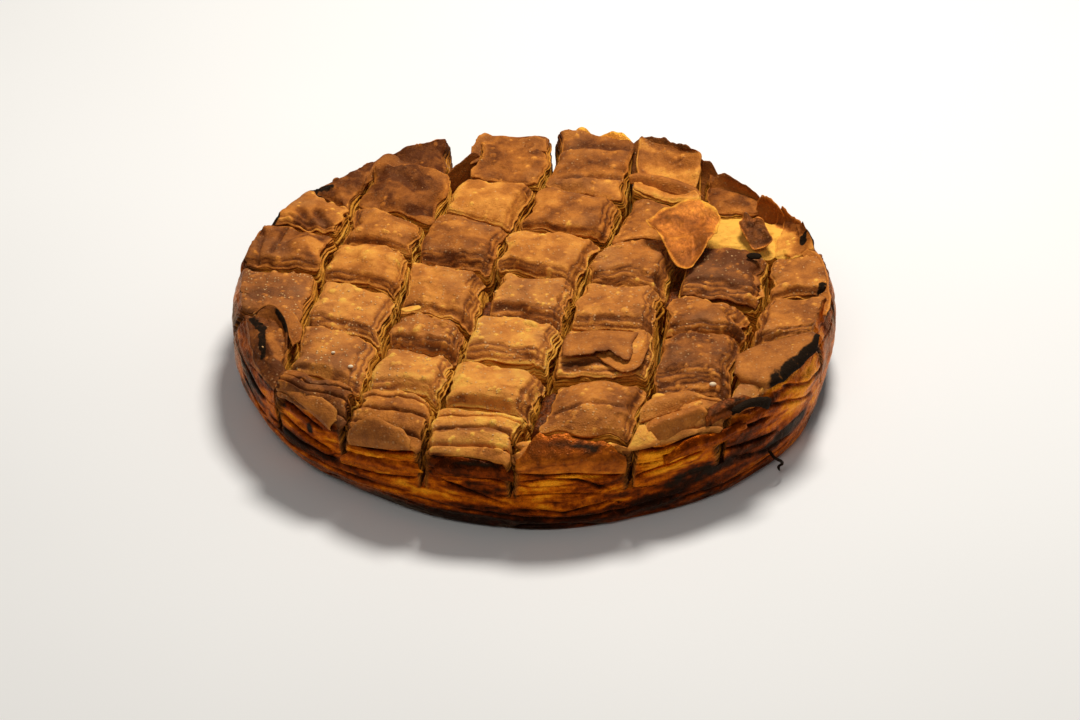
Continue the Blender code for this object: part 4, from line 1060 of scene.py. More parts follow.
def patched(kind, x, y, spot):
    """How strongly patches of one kind lie on each point (0 to 1)."""
    total = np.zeros(np.shape(x))
    ragged = (0.85 if kind == "char" else 0.45) * lumps(spot, 4, 47, 3)
    for what, start, end, radius, strength in PATCHES:
        if what == kind:
            reach = off_line(x, y, start, end) / radius + ragged
            total = np.maximum(total, strength * smooth(1.2, 0.5, reach))
    return total


def off_line(x, y, start, end):
    """Distance from the line between two places."""
    (x0, y0), (x1, y1) = start, end
    along_x, along_y = x1 - x0, y1 - y0
    length = max(along_x ** 2 + along_y ** 2, 1e-6)
    part = np.clip(((x - x0) * along_x + (y - y0) * along_y) / length, 0, 1)
    return np.hypot(x - x0 - part * along_x, y - y0 - part * along_y)


def side_masks(piece, rings, info, walled, tone, char, crease_shade):
    """Masks of each ring up the sides, with painted shade in the gaps between leaves and in the wall's
    creases.
    """
    x, y, z = np.moveaxis(rings, 2, 0)
    spot = space(x, y, z)
    leaf = np.array([number for number, _ in info])
    place = np.array([on_leaf for _, on_leaf in info])[:, None]
    pale = piece.rng.uniform(-0.22, 0.20, LEAVES)[leaf][:, None]
    toast = 0.34 + pale + 0.16 * lumps(spot, (6, 6, 1.2), 51, 2) + 0.10 * lumps(spot, (1.6, 1.6, 0.5), 55)
    toast = toast + 0.4 * (piece.toast - 0.5) * smooth(34, 44, z)
    topmost = (leaf == LEAVES - 1)[:, None]
    toast = np.where(topmost, piece.toast - 0.20 + 0.2 * lumps(spot, 5, 52, 2), toast)
    # Painted shade: darker in the deep gap between leaves and at each leaf's tucked-in lower edge.
    toast = toast + 0.55 * (place == "gap") + 0.12 * (place == "bottom")
    toast = toast + 0.5 * smooth(14, 3, from_wall(x, y))
    oil = smooth(45, 38, z) * (0.8 + 0.2 * lumps(spot, 8, 53)) * (1 - walled) * ~topmost
    stain = smooth(0.35, 0.7, lumps(spot, (13, 13, 5), 54, 2)) * smooth(38, 28, z) * (1 - walled) * 0.3
    burnt = patched("char", x, y, spot)
    up = smooth(0.93, 1.0, (z - CUT_FLOOR) / (z[-1] - CUT_FLOOR))
    wall = walled * (1 - 0.75 * up)
    # Painted shade: the wall's tone darkens in its creases.
    toast = lerp(toast, np.clip(tone + 0.5 * crease_shade, 0, 1), walled)
    char = np.maximum(burnt * up, walled * char)
    specks = np.where(topmost, piece.specks, 0)
    return masked(x, toast=toast, char=char, oil=oil, wall=wall, stain=stain, specks=specks)


def assemble(rings, grid, side_values, top_values):
    """Mesh of a piece from the rings up its sides and the grid of its top."""
    count, n = rings.shape[1], CELLS
    index = np.zeros((n + 1, n + 1), int)
    last = (len(rings) - 1) * count
    index[np.arange(n), 0], index[n, np.arange(n)] = last + np.arange(n), last + n + np.arange(n)
    index[n - np.arange(n), n] = last + 2 * n + np.arange(n)
    index[0, n - np.arange(n)] = last + 3 * n + np.arange(n)
    index[1:-1, 1:-1] = len(rings) * count + np.arange((n - 1) ** 2).reshape(n - 1, n - 1)
    points = np.concatenate([rings.reshape(-1, 3), grid[1:-1, 1:-1].reshape(-1, 3)])
    kinds = side_values.shape[-1]
    values = np.concatenate([side_values.reshape(-1, kinds), top_values[1:-1, 1:-1].reshape(-1, kinds)])
    quads = np.concatenate([ring_quads(len(rings), count), grid_quads(index)])
    return points, quads, [np.arange(count)[::-1]], values


def through(points, count):
    """Smooth curve through points, as count points along it."""
    points = np.asarray(points, float)
    last = len(points) - 1
    place = np.linspace(0, last, count)
    start = np.minimum(place.astype(int), last - 1)
    part = (place - start).reshape(-1, *[1] * (points.ndim - 1))
    padded = np.concatenate([2 * points[:1] - points[1:2], points, 2 * points[-1:] - points[-2:-1]])
    before, here, after, beyond = (padded[start + step] for step in range(4))
    bend = 2 * before - 5 * here + 4 * after - beyond
    twist = 3 * here - before - 3 * after + beyond
    return 0.5 * (2 * here + (after - before) * part + bend * part ** 2 + twist * part ** 3)


# Thin leaves: points along a row and out from its root, and thickness.
LEAF_ACROSS = 44
LEAF_OUTWARD = 22
LEAF_THICKNESS = 0.8
# How much more toasted the border of each kind of leaf is.
BORDER_TOAST = {"gold": -0.22, "frilled": -0.36, "pale": 0.35, "glazed": -0.18,
                "dark": 0.2, "torn": 0.2, "char": 0.2, "burnt": 0.2}


def leaf_sheet(kind, rows, seed):
    """Middle surface of a thin leaf (row, point along it, xyz), up to its ragged free edge."""
    fine = 2 * LEAF_OUTWARD
    sheet = through([through(row, LEAF_ACROSS) for row in rows], fine)
    along = np.linspace(0, 1, LEAF_ACROSS)
    tattered = 0.28 if kind == "frilled" else 0.16
    rounding = 0.05 if kind in ("torn", "pale") else 0.38
    ragged = 1 - tattered * np.clip(lumps(sheet[0] * [1, 1, 0] + seed, 5, 81, 3) + 0.3, 0, 1)
    ragged = ragged * (1 - rounding * smooth(0.14, 0, np.minimum(along, 1 - along)))
    place = np.linspace(0, 1, LEAF_OUTWARD)[:, None] * ragged[None, :] * (fine - 1)
    low = np.minimum(place.astype(int), fine - 2)
    column = np.broadcast_to(np.arange(LEAF_ACROSS), low.shape)
    return lerp(sheet[low, column], sheet[low + 1, column], (place - low)[..., None])


def charred_part(sheet, out, spot):
    """Char of a leaf with a charred edge, which keeps to one end of the leaf."""
    x, y = sheet[..., 0], sheet[..., 1]
    left_end = smooth(-117, -114, x) * smooth(-51, -47, y)
    right_end = smooth(97, 104, x)
    return smooth(0.52, 0.70, out + 0.16 * lumps(spot, 7, 86, 3)) * np.where(x > 0, right_end, left_end)


def leaf_toast(toast, kind, sheet, out, margin, spot):
    """Toast and char of a thin leaf."""
    tone = toast + 0.18 * lumps(spot, 9, 84, 3)
    border = smooth(0.22, 0.02, margin + 0.06 * lumps(spot, 3, 85, 2))
    char = np.zeros_like(tone)
    if kind == "glazed":
        streak = smooth(0.0, 0.5, lumps(spot, (11, 11, 2.5), 87, 3))
        tone = toast - 0.16 + 0.34 * out + 0.30 * streak + 0.22 * lumps(spot, 5, 84, 3)
        char = 0.8 * streak * smooth(0.55, 0.8, out) * (1 - border)
    elif kind == "char":
        char = charred_part(sheet, out, spot)
    elif kind == "burnt":
        char = char + 1
    return tone + BORDER_TOAST[kind] * border, char


def thin_leaf(toast, kind, gloss, lifts, rows, seed):
    """A thin closed leaf over rows of points."""
    share, along = np.linspace(0, 1, LEAF_OUTWARD), np.linspace(0, 1, LEAF_ACROSS)
    out = share[:, None]
    sheet = leaf_sheet(kind, rows, seed)
    facing = np.cross(np.gradient(sheet, axis=1), np.gradient(sheet, axis=0))
    if (facing * (sheet + [0, 0, 60])).sum() < 0:
        sheet, facing = sheet[:, ::-1], -facing[:, ::-1]
    facing /= np.linalg.norm(facing, axis=2, keepdims=True) + 1e-9
    raised = np.interp(share, np.linspace(0, 1, len(lifts)), lifts)
    sheet = sheet + facing * raised[:, None, None]
    spot = sheet + seed
    ripple = 1.5 if kind == "frilled" else 0.5
    swell = ripple * (lumps(spot, 9, 82, 2) + 0.4 * lumps(spot, 3, 83, 2)) * out ** 0.5
    sheet = sheet + facing * swell[..., None]
    margin = np.minimum.outer(1 - share, np.minimum(along, 1 - along) * 3)
    half = (LEAF_THICKNESS / 2 * (0.35 + 0.65 * smooth(0, 0.12, margin)))[..., None]
    points = np.concatenate([(sheet + facing * half).reshape(-1, 3), (sheet - facing * half).reshape(-1, 3)])
    index = np.arange(margin.size).reshape(margin.shape)
    face = np.stack([index[:-1, :-1], index[:-1, 1:], index[1:, 1:], index[1:, :-1]], axis=-1).reshape(-1, 4)
    loop = np.concatenate([index[0, :-1], index[:-1, -1], index[-1, 1:][::-1], index[1:, 0][::-1]])
    tone, char = leaf_toast(toast, kind, sheet, out, margin, spot)
    grey = 0.1 * (toast > 0.5)
    masks = masked(tone, toast=tone, char=char, wall=gloss, grey=grey, specks=0.3).reshape(-1, 7)
    return points, leaf_quads(face, loop, index.size), [], np.concatenate([masks, masks])


INSIDE_BOX = 1e-5  # metres that every point stays inside the CAD box


def add_mesh(name, points, quads, caps, values, material):
    """Object from points in millimetres, with its masks as two colour attributes."""
    mesh = bpy.data.meshes.new(name)
    mesh.vertices.add(len(points))
    low, high = np.array(CAD_BOX[0]) + INSIDE_BOX, np.array(CAD_BOX[1]) - INSIDE_BOX
    places = np.clip(points * MM + MIDDLE, low, high)
    mesh.vertices.foreach_set("co", places.astype(np.float32).ravel())
    loops = np.concatenate([quads.ravel()] + [np.asarray(cap) for cap in caps])
    sizes = np.concatenate([np.full(len(quads), 4)] + [[len(cap)] for cap in caps]).astype(int)
    starts = np.concatenate([[0], np.cumsum(sizes)[:-1]])
    mesh.loops.add(len(loops))
    mesh.loops.foreach_set("vertex_index", loops.astype(np.int32))
    mesh.polygons.add(len(sizes))
    mesh.polygons.foreach_set("loop_start", starts.astype(np.int32))
    mesh.polygons.foreach_set("use_smooth", np.ones(len(sizes), bool))
    mesh.update(calc_edges=True)
    values = np.clip(values, 0, 1)
    for attribute, group in (("bake", values[:, 0:4]), ("skin", np.c_[values[:, 4:7], np.ones(len(points))])):
        layer = mesh.attributes.new(attribute, "FLOAT_COLOR", "POINT")
        layer.data.foreach_set("color", group.astype(np.float32).ravel())
    mesh.materials.append(material)
    return placed(name, mesh)


# ---------------------------------------------------------------- lower pastry and filling
WALL_SEGMENTS = 880
WALL_RINGS = 30
UNDERSIDE_RINGS = (0.06, 0.25, 0.5, 0.75, 0.92, 0.985)
# The bowl that the filling lies in, from its outer edge to its bottom: radius, height.
BOWL = (
    (FILLING_RADIUS + 6, CUT_FLOOR + 0.1),
    (FILLING_RADIUS + 0.3, CUT_FLOOR),
    (FILLING_RADIUS + 0.3, 14.0),
)


def lower_pastry_mesh():
    """The uncut lower part: underside, folded wall, and the bowl that holds the filling."""
    turn = np.linspace(-math.pi, math.pi, WALL_SEGMENTS, endpoint=False)
    heights = [0.0] + list(np.linspace(0.35, CUT_FLOOR + 0.1, WALL_RINGS))
    rings, masks = [], []
    for reach in UNDERSIDE_RINGS:
        x, y = wall_point(turn, 0.0)
        spot = space(x * reach, y * reach, 0.0)
        rings.append(spot)
        char = 0.5 * smooth(0.1, 0.6, lumps(spot, 25, 62, 2))
        masks.append(masked(turn, toast=0.55 + 0.25 * lumps(spot, 20, 61, 3), char=char, wall=0.6))
    for height in heights:
        x, y = wall_point(turn, height)
        out, crease_shade = pleats(turn, height)
        out = out * smooth(0, 2.5, height)
        rings.append(space(x + out * np.cos(turn), y + out * np.sin(turn), height))
        tone, char = wall_masks(turn, height + 0 * turn)
        # Painted shade: the wall's tone darkens in its creases.
        masks.append(masked(turn, toast=np.clip(tone + 0.5 * crease_shade, 0, 1), char=char, wall=1.0))
    for radius, height in BOWL:
        rings.append(space(radius * np.cos(turn), radius * np.sin(turn), height))
        masks.append(masked(turn, toast=0.6, wall=0.5))
    first = np.arange(WALL_SEGMENTS)
    caps = [first[::-1], (len(rings) - 1) * WALL_SEGMENTS + first]
    wall = np.concatenate(rings), ring_quads(len(rings), WALL_SEGMENTS), caps, np.concatenate(masks)
    return joined([wall] + leaves_of("wall"))


# Filling squeezed up a cut: which cut, its y, length, height and lean.
SQUEEZED = [(3, -94.0, 30.0, 37.0, 1.6), (2, -13.0, 22.0, 37.0, 1.3), (4, 2.0, 22.0, 36.0, 1.6)]
SQUEEZED_HALF_WIDTH = 4.6
FILLING_STEP = 1.25
FILLING_TOP = CUT_FLOOR - 0.4
FILLING_SKIRT = 14.3  # height of its lower edge


def filling_mesh():
    """A lumpy floor that rises where the filling is squeezed up a cut."""
    side = int(2 * FILLING_RADIUS / FILLING_STEP)
    line = np.linspace(-1, 1, side + 1)
    a, b = np.meshgrid(line, line, indexing="ij")
    x = a * np.sqrt(1 - b * b / 2) * FILLING_RADIUS
    y = b * np.sqrt(1 - a * a / 2) * FILLING_RADIUS
    spot = space(x, y, 0.0)
    z = FILLING_TOP + 0.5 * lumps(spot, 5, 71, 3)
    red = 0.25 + 0.35 * lumps(spot, 16, 72, 2)
    for number, middle, length, crest, lean in SQUEEZED:
        centre = long_side(number, 0.0)[1](y) + lean
        along = np.abs(y - middle) / (length / 2)
        across = np.abs(x - centre) / SQUEEZED_HALF_WIDTH
        rise = smooth(1.15, 0.75, along + 0.25 * lumps(spot, 7, 73, 2)) * smooth(1.6, 0.5, across)
        chunk = 1 - 0.22 * np.abs(lumps(spot, 4.5, 74, 2)) - 0.1 * np.abs(lumps(spot, 1.8, 75))
        z = np.maximum(z, CUT_FLOOR + (crest - CUT_FLOOR) * rise * chunk)
        red = np.maximum(red, smooth(0.0, 0.3, rise))
    z[0], z[-1], z[:, 0], z[:, -1] = (FILLING_TOP,) * 4
    points = space(x, y, z).reshape(-1, 3)
    index = np.arange((side + 1) ** 2).reshape(side + 1, side + 1)
    edge = np.concatenate([index[:-1, 0], index[-1, :-1], index[::-1, -1][:-1], index[0, ::-1][:-1]])
    below = points[edge] * [1, 1, 0] + [0, 0, FILLING_SKIRT]
    low = len(points) + np.arange(len(edge))
    skirt = np.stack([low, np.roll(low, -1), np.roll(edge, -1), edge], axis=1)
    values = np.concatenate([masked(red.ravel(), toast=0.5, stain=red.ravel()), masked(np.zeros(len(edge)))])
    return np.concatenate([points, below]), np.concatenate([grid_quads(index), skirt]), [low[::-1]], values


# ---------------------------------------------------------------- crumbs
# Inputs of the node tree that strews them, in metres.
STREWN = {"Crumbs per area": 22000.0, "Smallest": 0.00018, "Largest": 0.00056, "Flatness": 0.45, "Seed": 11}
CRUMB_WIDTH = 0.7  # of its length
CRUMB_TILT = 0.3  # radians
LOWEST_TOP = 0.040
LEVEL_ENOUGH = 0.8  # upward part of the normal of a face that a crumb stays on
# Single larger crumbs: place and radius.
SINGLE_CRUMBS = [((-80, -75, 48), 1.2), ((-88, -66, 48), 0.9), ((77, -82.5, 45), 1.6)]
DROP_HEIGHT = 0.02


def crumb_nodes():
    """Node tree that strews small flakes over a surface."""
    tree = bpy.data.node_groups.new("strewn_crumbs", "GeometryNodeTree")
    tree.interface.new_socket(name="Geometry", in_out="OUTPUT", socket_type="NodeSocketGeometry")
    sockets = {"Geometry": "NodeSocketGeometry"}
    sockets.update(dict.fromkeys(("Crumbs per area", "Smallest", "Largest", "Flatness"), "NodeSocketFloat"))
    sockets.update({"Seed": "NodeSocketInt", "Material": "NodeSocketMaterial"})
    for name, kind in sockets.items():
        tree.interface.new_socket(name=name, in_out="INPUT", socket_type=kind)

    def add(kind, inputs, settings=None):
        node = tree.nodes.new(kind)
        for key, value in (settings or {}).items():
            setattr(node, key, value)
        for key, value in inputs.items():
            if isinstance(value, bpy.types.NodeSocket):
                tree.links.new(value, node.inputs[key])
            else:
                node.inputs[key].default_value = value
        return node.outputs

    given = add("NodeGroupInput", {})
    share = add("GeometryNodeInputNamedAttribute", {"Name": "crumbly"}, {"data_type": "FLOAT"})["Attribute"]
    density = add("ShaderNodeMath", {0: share, 1: given["Crumbs per area"]}, {"operation": "MULTIPLY"})[0]
    spread = add("GeometryNodeDistributePointsOnFaces",
                 {"Mesh": given["Geometry"], "Density": density, "Seed": given["Seed"]})
    size = add("FunctionNodeRandomValue",
               {2: given["Smallest"], 3: given["Largest"], "Seed": given["Seed"]}, {"data_type": "FLOAT"})[1]
    thin = add("ShaderNodeMath", {0: size, 1: given["Flatness"]}, {"operation": "MULTIPLY"})[0]
    narrow = add("ShaderNodeMath", {0: size, 1: CRUMB_WIDTH}, {"operation": "MULTIPLY"})[0]
    scale = add("ShaderNodeCombineXYZ", {0: size, 1: narrow, 2: thin})[0]
    least, most = (-CRUMB_TILT, -CRUMB_TILT, 0.0), (CRUMB_TILT, CRUMB_TILT, 6.28)
    turn = add("FunctionNodeRandomValue", {0: least, 1: most, "Seed": given["Seed"]},
               {"data_type": "FLOAT_VECTOR"})[0]
    crumb = add("GeometryNodeMeshIcoSphere", {"Radius": 1.0, "Subdivisions": 2})["Mesh"]
    strewn = add("GeometryNodeInstanceOnPoints", {"Points": spread["Points"], "Instance": crumb,
                                                  "Rotation": turn, "Scale": scale})[0]
    real = add("GeometryNodeRealizeInstances", {"Geometry": strewn})[0]
    painted = add("GeometryNodeSetMaterial", {"Geometry": real, "Material": given["Material"]})[0]
    add("NodeGroupOutput", {"Geometry": painted})
    return tree


def strew_crumbs(pieces, material):
    """Small pale flakes lying on the tops, most where BAKE gives the most specks."""
    points, faces, shares = [], [], []
    for name, made in pieces.items():
        mesh = made.data
        places = np.empty(len(mesh.vertices) * 3, np.float32)
        mesh.vertices.foreach_get("co", places)
        places = places.reshape(-1, 3)
        share = BAKE[name][2]
        for face in mesh.polygons:
            if face.normal.z > LEVEL_ENOUGH and face.center.z > LOWEST_TOP and len(face.vertices) == 4:
                faces.append([len(points) + step for step in range(4)])
                points += [places[corner] for corner in face.vertices]
                shares += [share] * 4
    ground = bpy.data.meshes.new("crumb_ground")
    ground.from_pydata(points, [], faces)
    layer = ground.attributes.new("crumbly", "FLOAT", "POINT")
    layer.data.foreach_set("value", np.array(shares, np.float32))
    carrier = placed("crumb_carrier", ground)
    tree = crumb_nodes()
    modifier = carrier.modifiers.new("strew", "NODES")
    modifier.node_group = tree
    wanted = {**STREWN, "Material": material}
    for item in tree.interface.items_tree:
        if item.name in wanted:
            modifier[item.identifier] = wanted[item.name]
    evaluated = carrier.evaluated_get(bpy.context.evaluated_depsgraph_get())
    mesh = bpy.data.meshes.new_from_object(evaluated)
    carrier.modifiers.remove(modifier)
    bpy.data.objects.remove(carrier)
    made = placed("strewn_crumbs", mesh)
    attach(made, "root")


def single_crumbs(tops, material):
    """Larger crumbs, each let down onto the top below it."""
    bpy.context.view_layer.update()
    builder = bmesh.new()
    for place, radius in SINGLE_CRUMBS:
        above = Vector(np.array(place) * MM + MIDDLE) + Vector((0, 0, DROP_HEIGHT))
        landings = [made.ray_cast(above, (0, 0, -1)) for made in tops]
        landed = max([spot.z for hit, spot, _, _ in landings if hit], default=place[2] * MM)
        where = Matrix.Translation((above.x, above.y, landed + 0.5 * radius * MM))
        shape = Matrix.Diagonal((radius * MM, 0.75 * radius * MM, 0.6 * radius * MM, 1.0))
        bmesh.ops.create_icosphere(builder, subdivisions=3, radius=1.0, matrix=where @ shape)
    mesh = bpy.data.meshes.new("single_crumbs")
    builder.to_mesh(mesh)
    builder.free()
    mesh.materials.append(material)
    made = placed("single_crumbs", mesh)
    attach(made, "root")


# ---------------------------------------------------------------- loose leaves
# Middle, rise towards the back, toast, and the corners round it (degrees, reach).
FREE_LEAVES = {
    "loose_leaf": (
        (70.0, 28.5, 50.8), 4.0, 0.50,
        [(-148, 14), (-111, 19), (-89, 27), (-61, 16), (-6, 14), (34, 21), (66, 25), (87, 27), (121, 22),
         (163, 20)]),
    "small_leaf": (
        (103.0, 41.0, 45.8), 6.0, 0.78,
        [(-169, 7), (-137, 7), (-112, 8), (-99, 12), (-77, 12), (-58, 12), (-46, 13), (-31, 8), (8, 6),
         (51, 7), (78, 7), (96, 5), (109, 14), (125, 9), (161, 8)]),
}
FREE_LEAF_CURL = 0.10
FREE_LEAF_WAVE = 0.05
FREE_LEAF_HALF = 0.32  # half its thickness
FREE_LEAF_TURNS = 160
FREE_LEAF_RINGS = 30


def straight_between(corners, angle):
    """Reach of an outline with straight edges between its corners."""
    around = [(math.radians(turn), reach) for turn, reach in corners]
    around = [(around[-1][0] - 2 * math.pi, around[-1][1])] + around
    angle = np.where(angle > around[-1][0], angle - 2 * math.pi, angle)
    total = np.zeros_like(angle)
    for (first, near), (last, far) in zip(around, around[1:]):
        opposite = near * np.sin(angle - first) + far * np.sin(last - angle)
        edge = near * far * math.sin(last - first) / opposite
        total = np.where((angle >= first) & (angle <= last), edge, total)
    return total


def free_leaf(middle, rise, toast, corners, seed):
    """A loose wavy leaf: rings round its middle on both faces, torn along its edge."""
    angle = np.linspace(-math.pi, math.pi, FREE_LEAF_TURNS, endpoint=False)
    edge = loop_smooth(straight_between(corners, angle), 2.2)
    size = float(edge.mean())
    reach = np.linspace(0.02, 1, FREE_LEAF_RINGS)[:, None]
    rim = space(np.cos(angle), np.sin(angle), seed)
    torn = 1 - 0.05 * np.clip(lumps(rim, 0.28, 91, 3) + 0.3, 0, 1)
    torn = torn - 0.02 * np.clip(lumps(rim, 0.07, 92), 0, 1)
    out = reach * edge * lerp(1, torn, reach ** 4)
    x = middle[0] + out * np.cos(angle)
    y = middle[1] + out * np.sin(angle)
    spot = space(x, y, seed)
    lift = FREE_LEAF_CURL * 2 * size * (out * np.cos(angle) / size) ** 2
    lift = lift + rise * out * np.sin(angle) / (2 * size)
    lift = lift + FREE_LEAF_WAVE * 2 * size * np.sin(3 * angle + 4 * reach) * reach
    lift = lift + 0.06 * size * reach ** 4 * lumps(spot, 7, 98, 2)
    crinkle = 0.8 * lumps(spot, 7, 93, 2) + 0.4 * (1 - 2 * np.abs(lumps(spot, (4, 9, 4), 94, 2)))
    z = middle[2] + lift + crinkle
    half = FREE_LEAF_HALF * (1 - 0.6 * reach ** 8)
    over, under = space(x, y, z + half), space(x, y, z - half)
    index = np.arange(FREE_LEAF_RINGS * FREE_LEAF_TURNS).reshape(FREE_LEAF_RINGS, FREE_LEAF_TURNS)
    after = np.roll(index, -1, axis=1)
    face = np.stack([index[:-1], index[1:], after[1:], after[:-1]], axis=-1).reshape(-1, 4)
    caps = [index[0], index[0][::-1] + index.size]
    tone = toast + 0.42 * lumps(spot, 9, 95, 3) + 0.20 * lumps(spot, 2.5, 96, 2)
    tone = tone - 0.45 * smooth(0.86, 0.99, reach + 0.06 * lumps(spot, 4, 97, 2))
    masks = masked(tone, toast=tone, wall=0.45, grey=0.1, specks=0.2).reshape(-1, 7)
    points = np.concatenate([over.reshape(-1, 3), under.reshape(-1, 3)])
    return points, leaf_quads(face, index[-1], index.size), caps, np.concatenate([masks, masks])


# ---------------------------------------------------------------- materials
class Value:
    """A shader socket that sums and products can be written with."""

    def __init__(self, shader, socket):
        self.shader, self.socket = shader, socket

    def math(self, operation, other):
        return self.shader.add("ShaderNodeMath", {"operation": operation}, {0: self, 1: other})

    def __add__(self, other):
        return self.math("ADD", other)

    def __sub__(self, other):
        return self.math("SUBTRACT", other)

    def __mul__(self, other):
        return self.math("MULTIPLY", other)

    def __rsub__(self, other):
        return self.shader.add("ShaderNodeMath", {"operation": "SUBTRACT"}, {0: other, 1: self})

    __radd__, __rmul__ = __add__, __mul__

    def between(self, low, high):
        """0 at low and 1 at high, smooth in between."""
        return self.shader.add("ShaderNodeMapRange", {"interpolation_type": "SMOOTHSTEP"},
                               {"Value": self, "From Min": low, "From Max": high})


class Shader:
    """A material and its nodes."""

    def __init__(self, name):
        self.material = bpy.data.materials.new(name)
        self.material.use_nodes = True
        self.nodes = self.material.node_tree.nodes
        self.surface = self.nodes["Principled BSDF"]
        self.place = self.add("ShaderNodeTexCoord", output="Object")

    def add(self, kind, settings=None, inputs=None, output=0):
        """One of the outputs of a new node, with its settings made before its inputs."""
        node = self.nodes.new(kind)
        for key, value in (settings or {}).items():
            if key == "stops":
                self.set_stops(node.color_ramp, value)
            else:
                setattr(node, key, value)
        for key, value in (inputs or {}).items():
            self.feed(node.inputs[key], value)
        return Value(self, node.outputs[output])

    def feed(self, socket, value):
        if isinstance(value, Value):
            self.material.node_tree.links.new(value.socket, socket)
        else:
            socket.default_value = value

    def set_stops(self, ramp, stops):
        while len(ramp.elements) < len(stops):
            ramp.elements.new(1.0)
        for element, (position, shade) in zip(ramp.elements, stops):
            element.position, element.color = position, shade

    def split(self, value):
        """The three channels of a colour."""
        outputs = self.add("ShaderNodeSeparateColor", None, {"Color": value}).socket.node.outputs
        return [Value(self, outputs[channel]) for channel in range(3)]

    def mask(self, attribute):
        """The four channels of a colour attribute."""
        outputs = self.add("ShaderNodeAttribute", {"attribute_name": attribute}).socket.node.outputs
        return self.split(Value(self, outputs["Color"])) + [Value(self, outputs["Alpha"])]

    def noise(self, size, detail=3.0, roughness=0.55):
        """Noise from 0 to 1 whose lumps are size (metres) long."""
        return self.add("ShaderNodeTexNoise", None,
                        {"Vector": self.place, "Scale": 1 / size, "Detail": detail, "Roughness": roughness})

    def ramp(self, value, stops):
        """A colour for a value, between stops of a place and a colour."""
        return self.add("ShaderNodeValToRGB", {"stops": stops}, {0: value})

    def mix(self, factor, first, second):
        """The first colour at 0 and the second at 1."""
        return self.add("ShaderNodeMix", {"data_type": "RGBA"}, {0: factor, 6: first, 7: second}, output=2)

    def finish(self, values):
        """The material, with values or links for the inputs of its surface."""
        for key, value in values.items():
            self.feed(self.surface.inputs[key], value)
        return self.material


def colour(red, green, blue):
    """An opaque colour."""
    return (red, green, blue, 1.0)


# Toasted tops, caramelled wall and the oiled layers in the cuts, from pale to dark.
TOAST_STOPS = [
    (0.0, colour(0.98, 0.52, 0.078)), (0.25, colour(0.81, 0.315, 0.050)), (0.5, colour(0.55, 0.180, 0.026)),
    (0.75, colour(0.31, 0.090, 0.014)), (1.0, colour(0.10, 0.022, 0.004)),
]
WALL_STOPS = [
    (0.0, colour(0.85, 0.285, 0.008)), (0.3, colour(0.53, 0.108, 0.001)), (0.55, colour(0.22, 0.031, 0.0)),
    (0.8, colour(0.055, 0.007, 0.0)), (1.0, colour(0.010, 0.001, 0.0)),
]
OIL_STOPS = [
    (0.0, colour(0.92, 0.47, 0.072)), (0.35, colour(0.65, 0.27, 0.022)), (0.6, colour(0.31, 0.100, 0.006)),
    (1.0, colour(0.030, 0.008, 0.001)),
]
GREY_CRUST = colour(0.26, 0.112, 0.048)
FLOURY_CRUST = colour(0.46, 0.21, 0.09)
PALE_SPECK = colour(0.86, 0.50, 0.22)
RED_JUICE = colour(0.13, 0.026, 0.006)
SOOT = colour(0.010, 0.005, 0.003)
SHEEN = colour(1.0, 0.68, 0.34)
CURD = colour(0.84, 0.62, 0.36), colour(0.92, 0.80, 0.60)
FLAKES = colour(0.62, 0.28, 0.075), colour(0.88, 0.56, 0.24)


def pastry_material():
    """Baked pastry: toasted tops, oiled layers, caramelled wall, juice stains and char."""
    shader = Shader("baked_pastry")
    toast, char, oil, wall = shader.mask("bake")
    stain, grey, specks, _ = shader.mask("skin")
    grain = shader.noise(0.0007, 2.0, 0.7)
    blotch = shader.noise(0.0030, 5.0, 0.65)
    cloud = shader.noise(0.0075, 3.0, 0.6)
    patch = toast + (blotch - 0.5) * 0.36 + (grain - 0.5) * 0.34 + (cloud.between(0.38, 0.62) - 0.5) * 0.12
    top = shader.ramp(patch, TOAST_STOPS)
    top = shader.mix(grey * 0.75, top, GREY_CRUST)
    top = shader.mix(specks * 0.16, top, FLOURY_CRUST)
    dots = shader.add("ShaderNodeTexVoronoi", {"feature": "F1"}, {"Vector": shader.place, "Scale": 560.0})
    chance = shader.split(Value(shader, dots.socket.node.outputs["Color"]))
    few = shader.noise(0.0060, 1.0)
    chosen = (chance[0] + (few - 0.5) * 1.6).between(0.54, 0.66) * specks
    dot = (1 - (dots - chance[1] * 0.14).between(0.08, 0.28)) * chosen
    top = shader.mix(dot * 0.75, top, PALE_SPECK)
    layers = shader.ramp(toast + (blotch - 0.5) * 0.35 + (grain - 0.5) * 0.25, OIL_STOPS)
    glazed = shader.ramp(toast + (blotch - 0.5) * 0.75 + (grain - 0.5) * 0.16, WALL_STOPS)
    base = shader.mix(oil, top, layers)
    base = shader.mix(wall, base, glazed)
    base = shader.mix(stain * 0.8, base, RED_JUICE)
    burnt = char * 0.85 + (blotch - 0.5) * 1.5 * char
    base = shader.mix(burnt.between(0.25, 0.75), base, SOOT)
    rough = 0.50 - wall * 0.22 - oil * 0.08 + char * 0.30 + (blotch - 0.5) * 0.35
    relief = grain * (0.45 - wall * 0.30) + blotch * 0.9 + dot * 0.7
    bump = shader.add("ShaderNodeBump", None, {"Strength": 0.9, "Distance": 0.0009, "Height": relief})
    return shader.finish({"Base Color": base, "Roughness": rough, "Normal": bump,
                          "Metallic": wall * 0.50 * (1 - char), "Specular IOR Level": 0.12,
                          "Specular Tint": SHEEN})


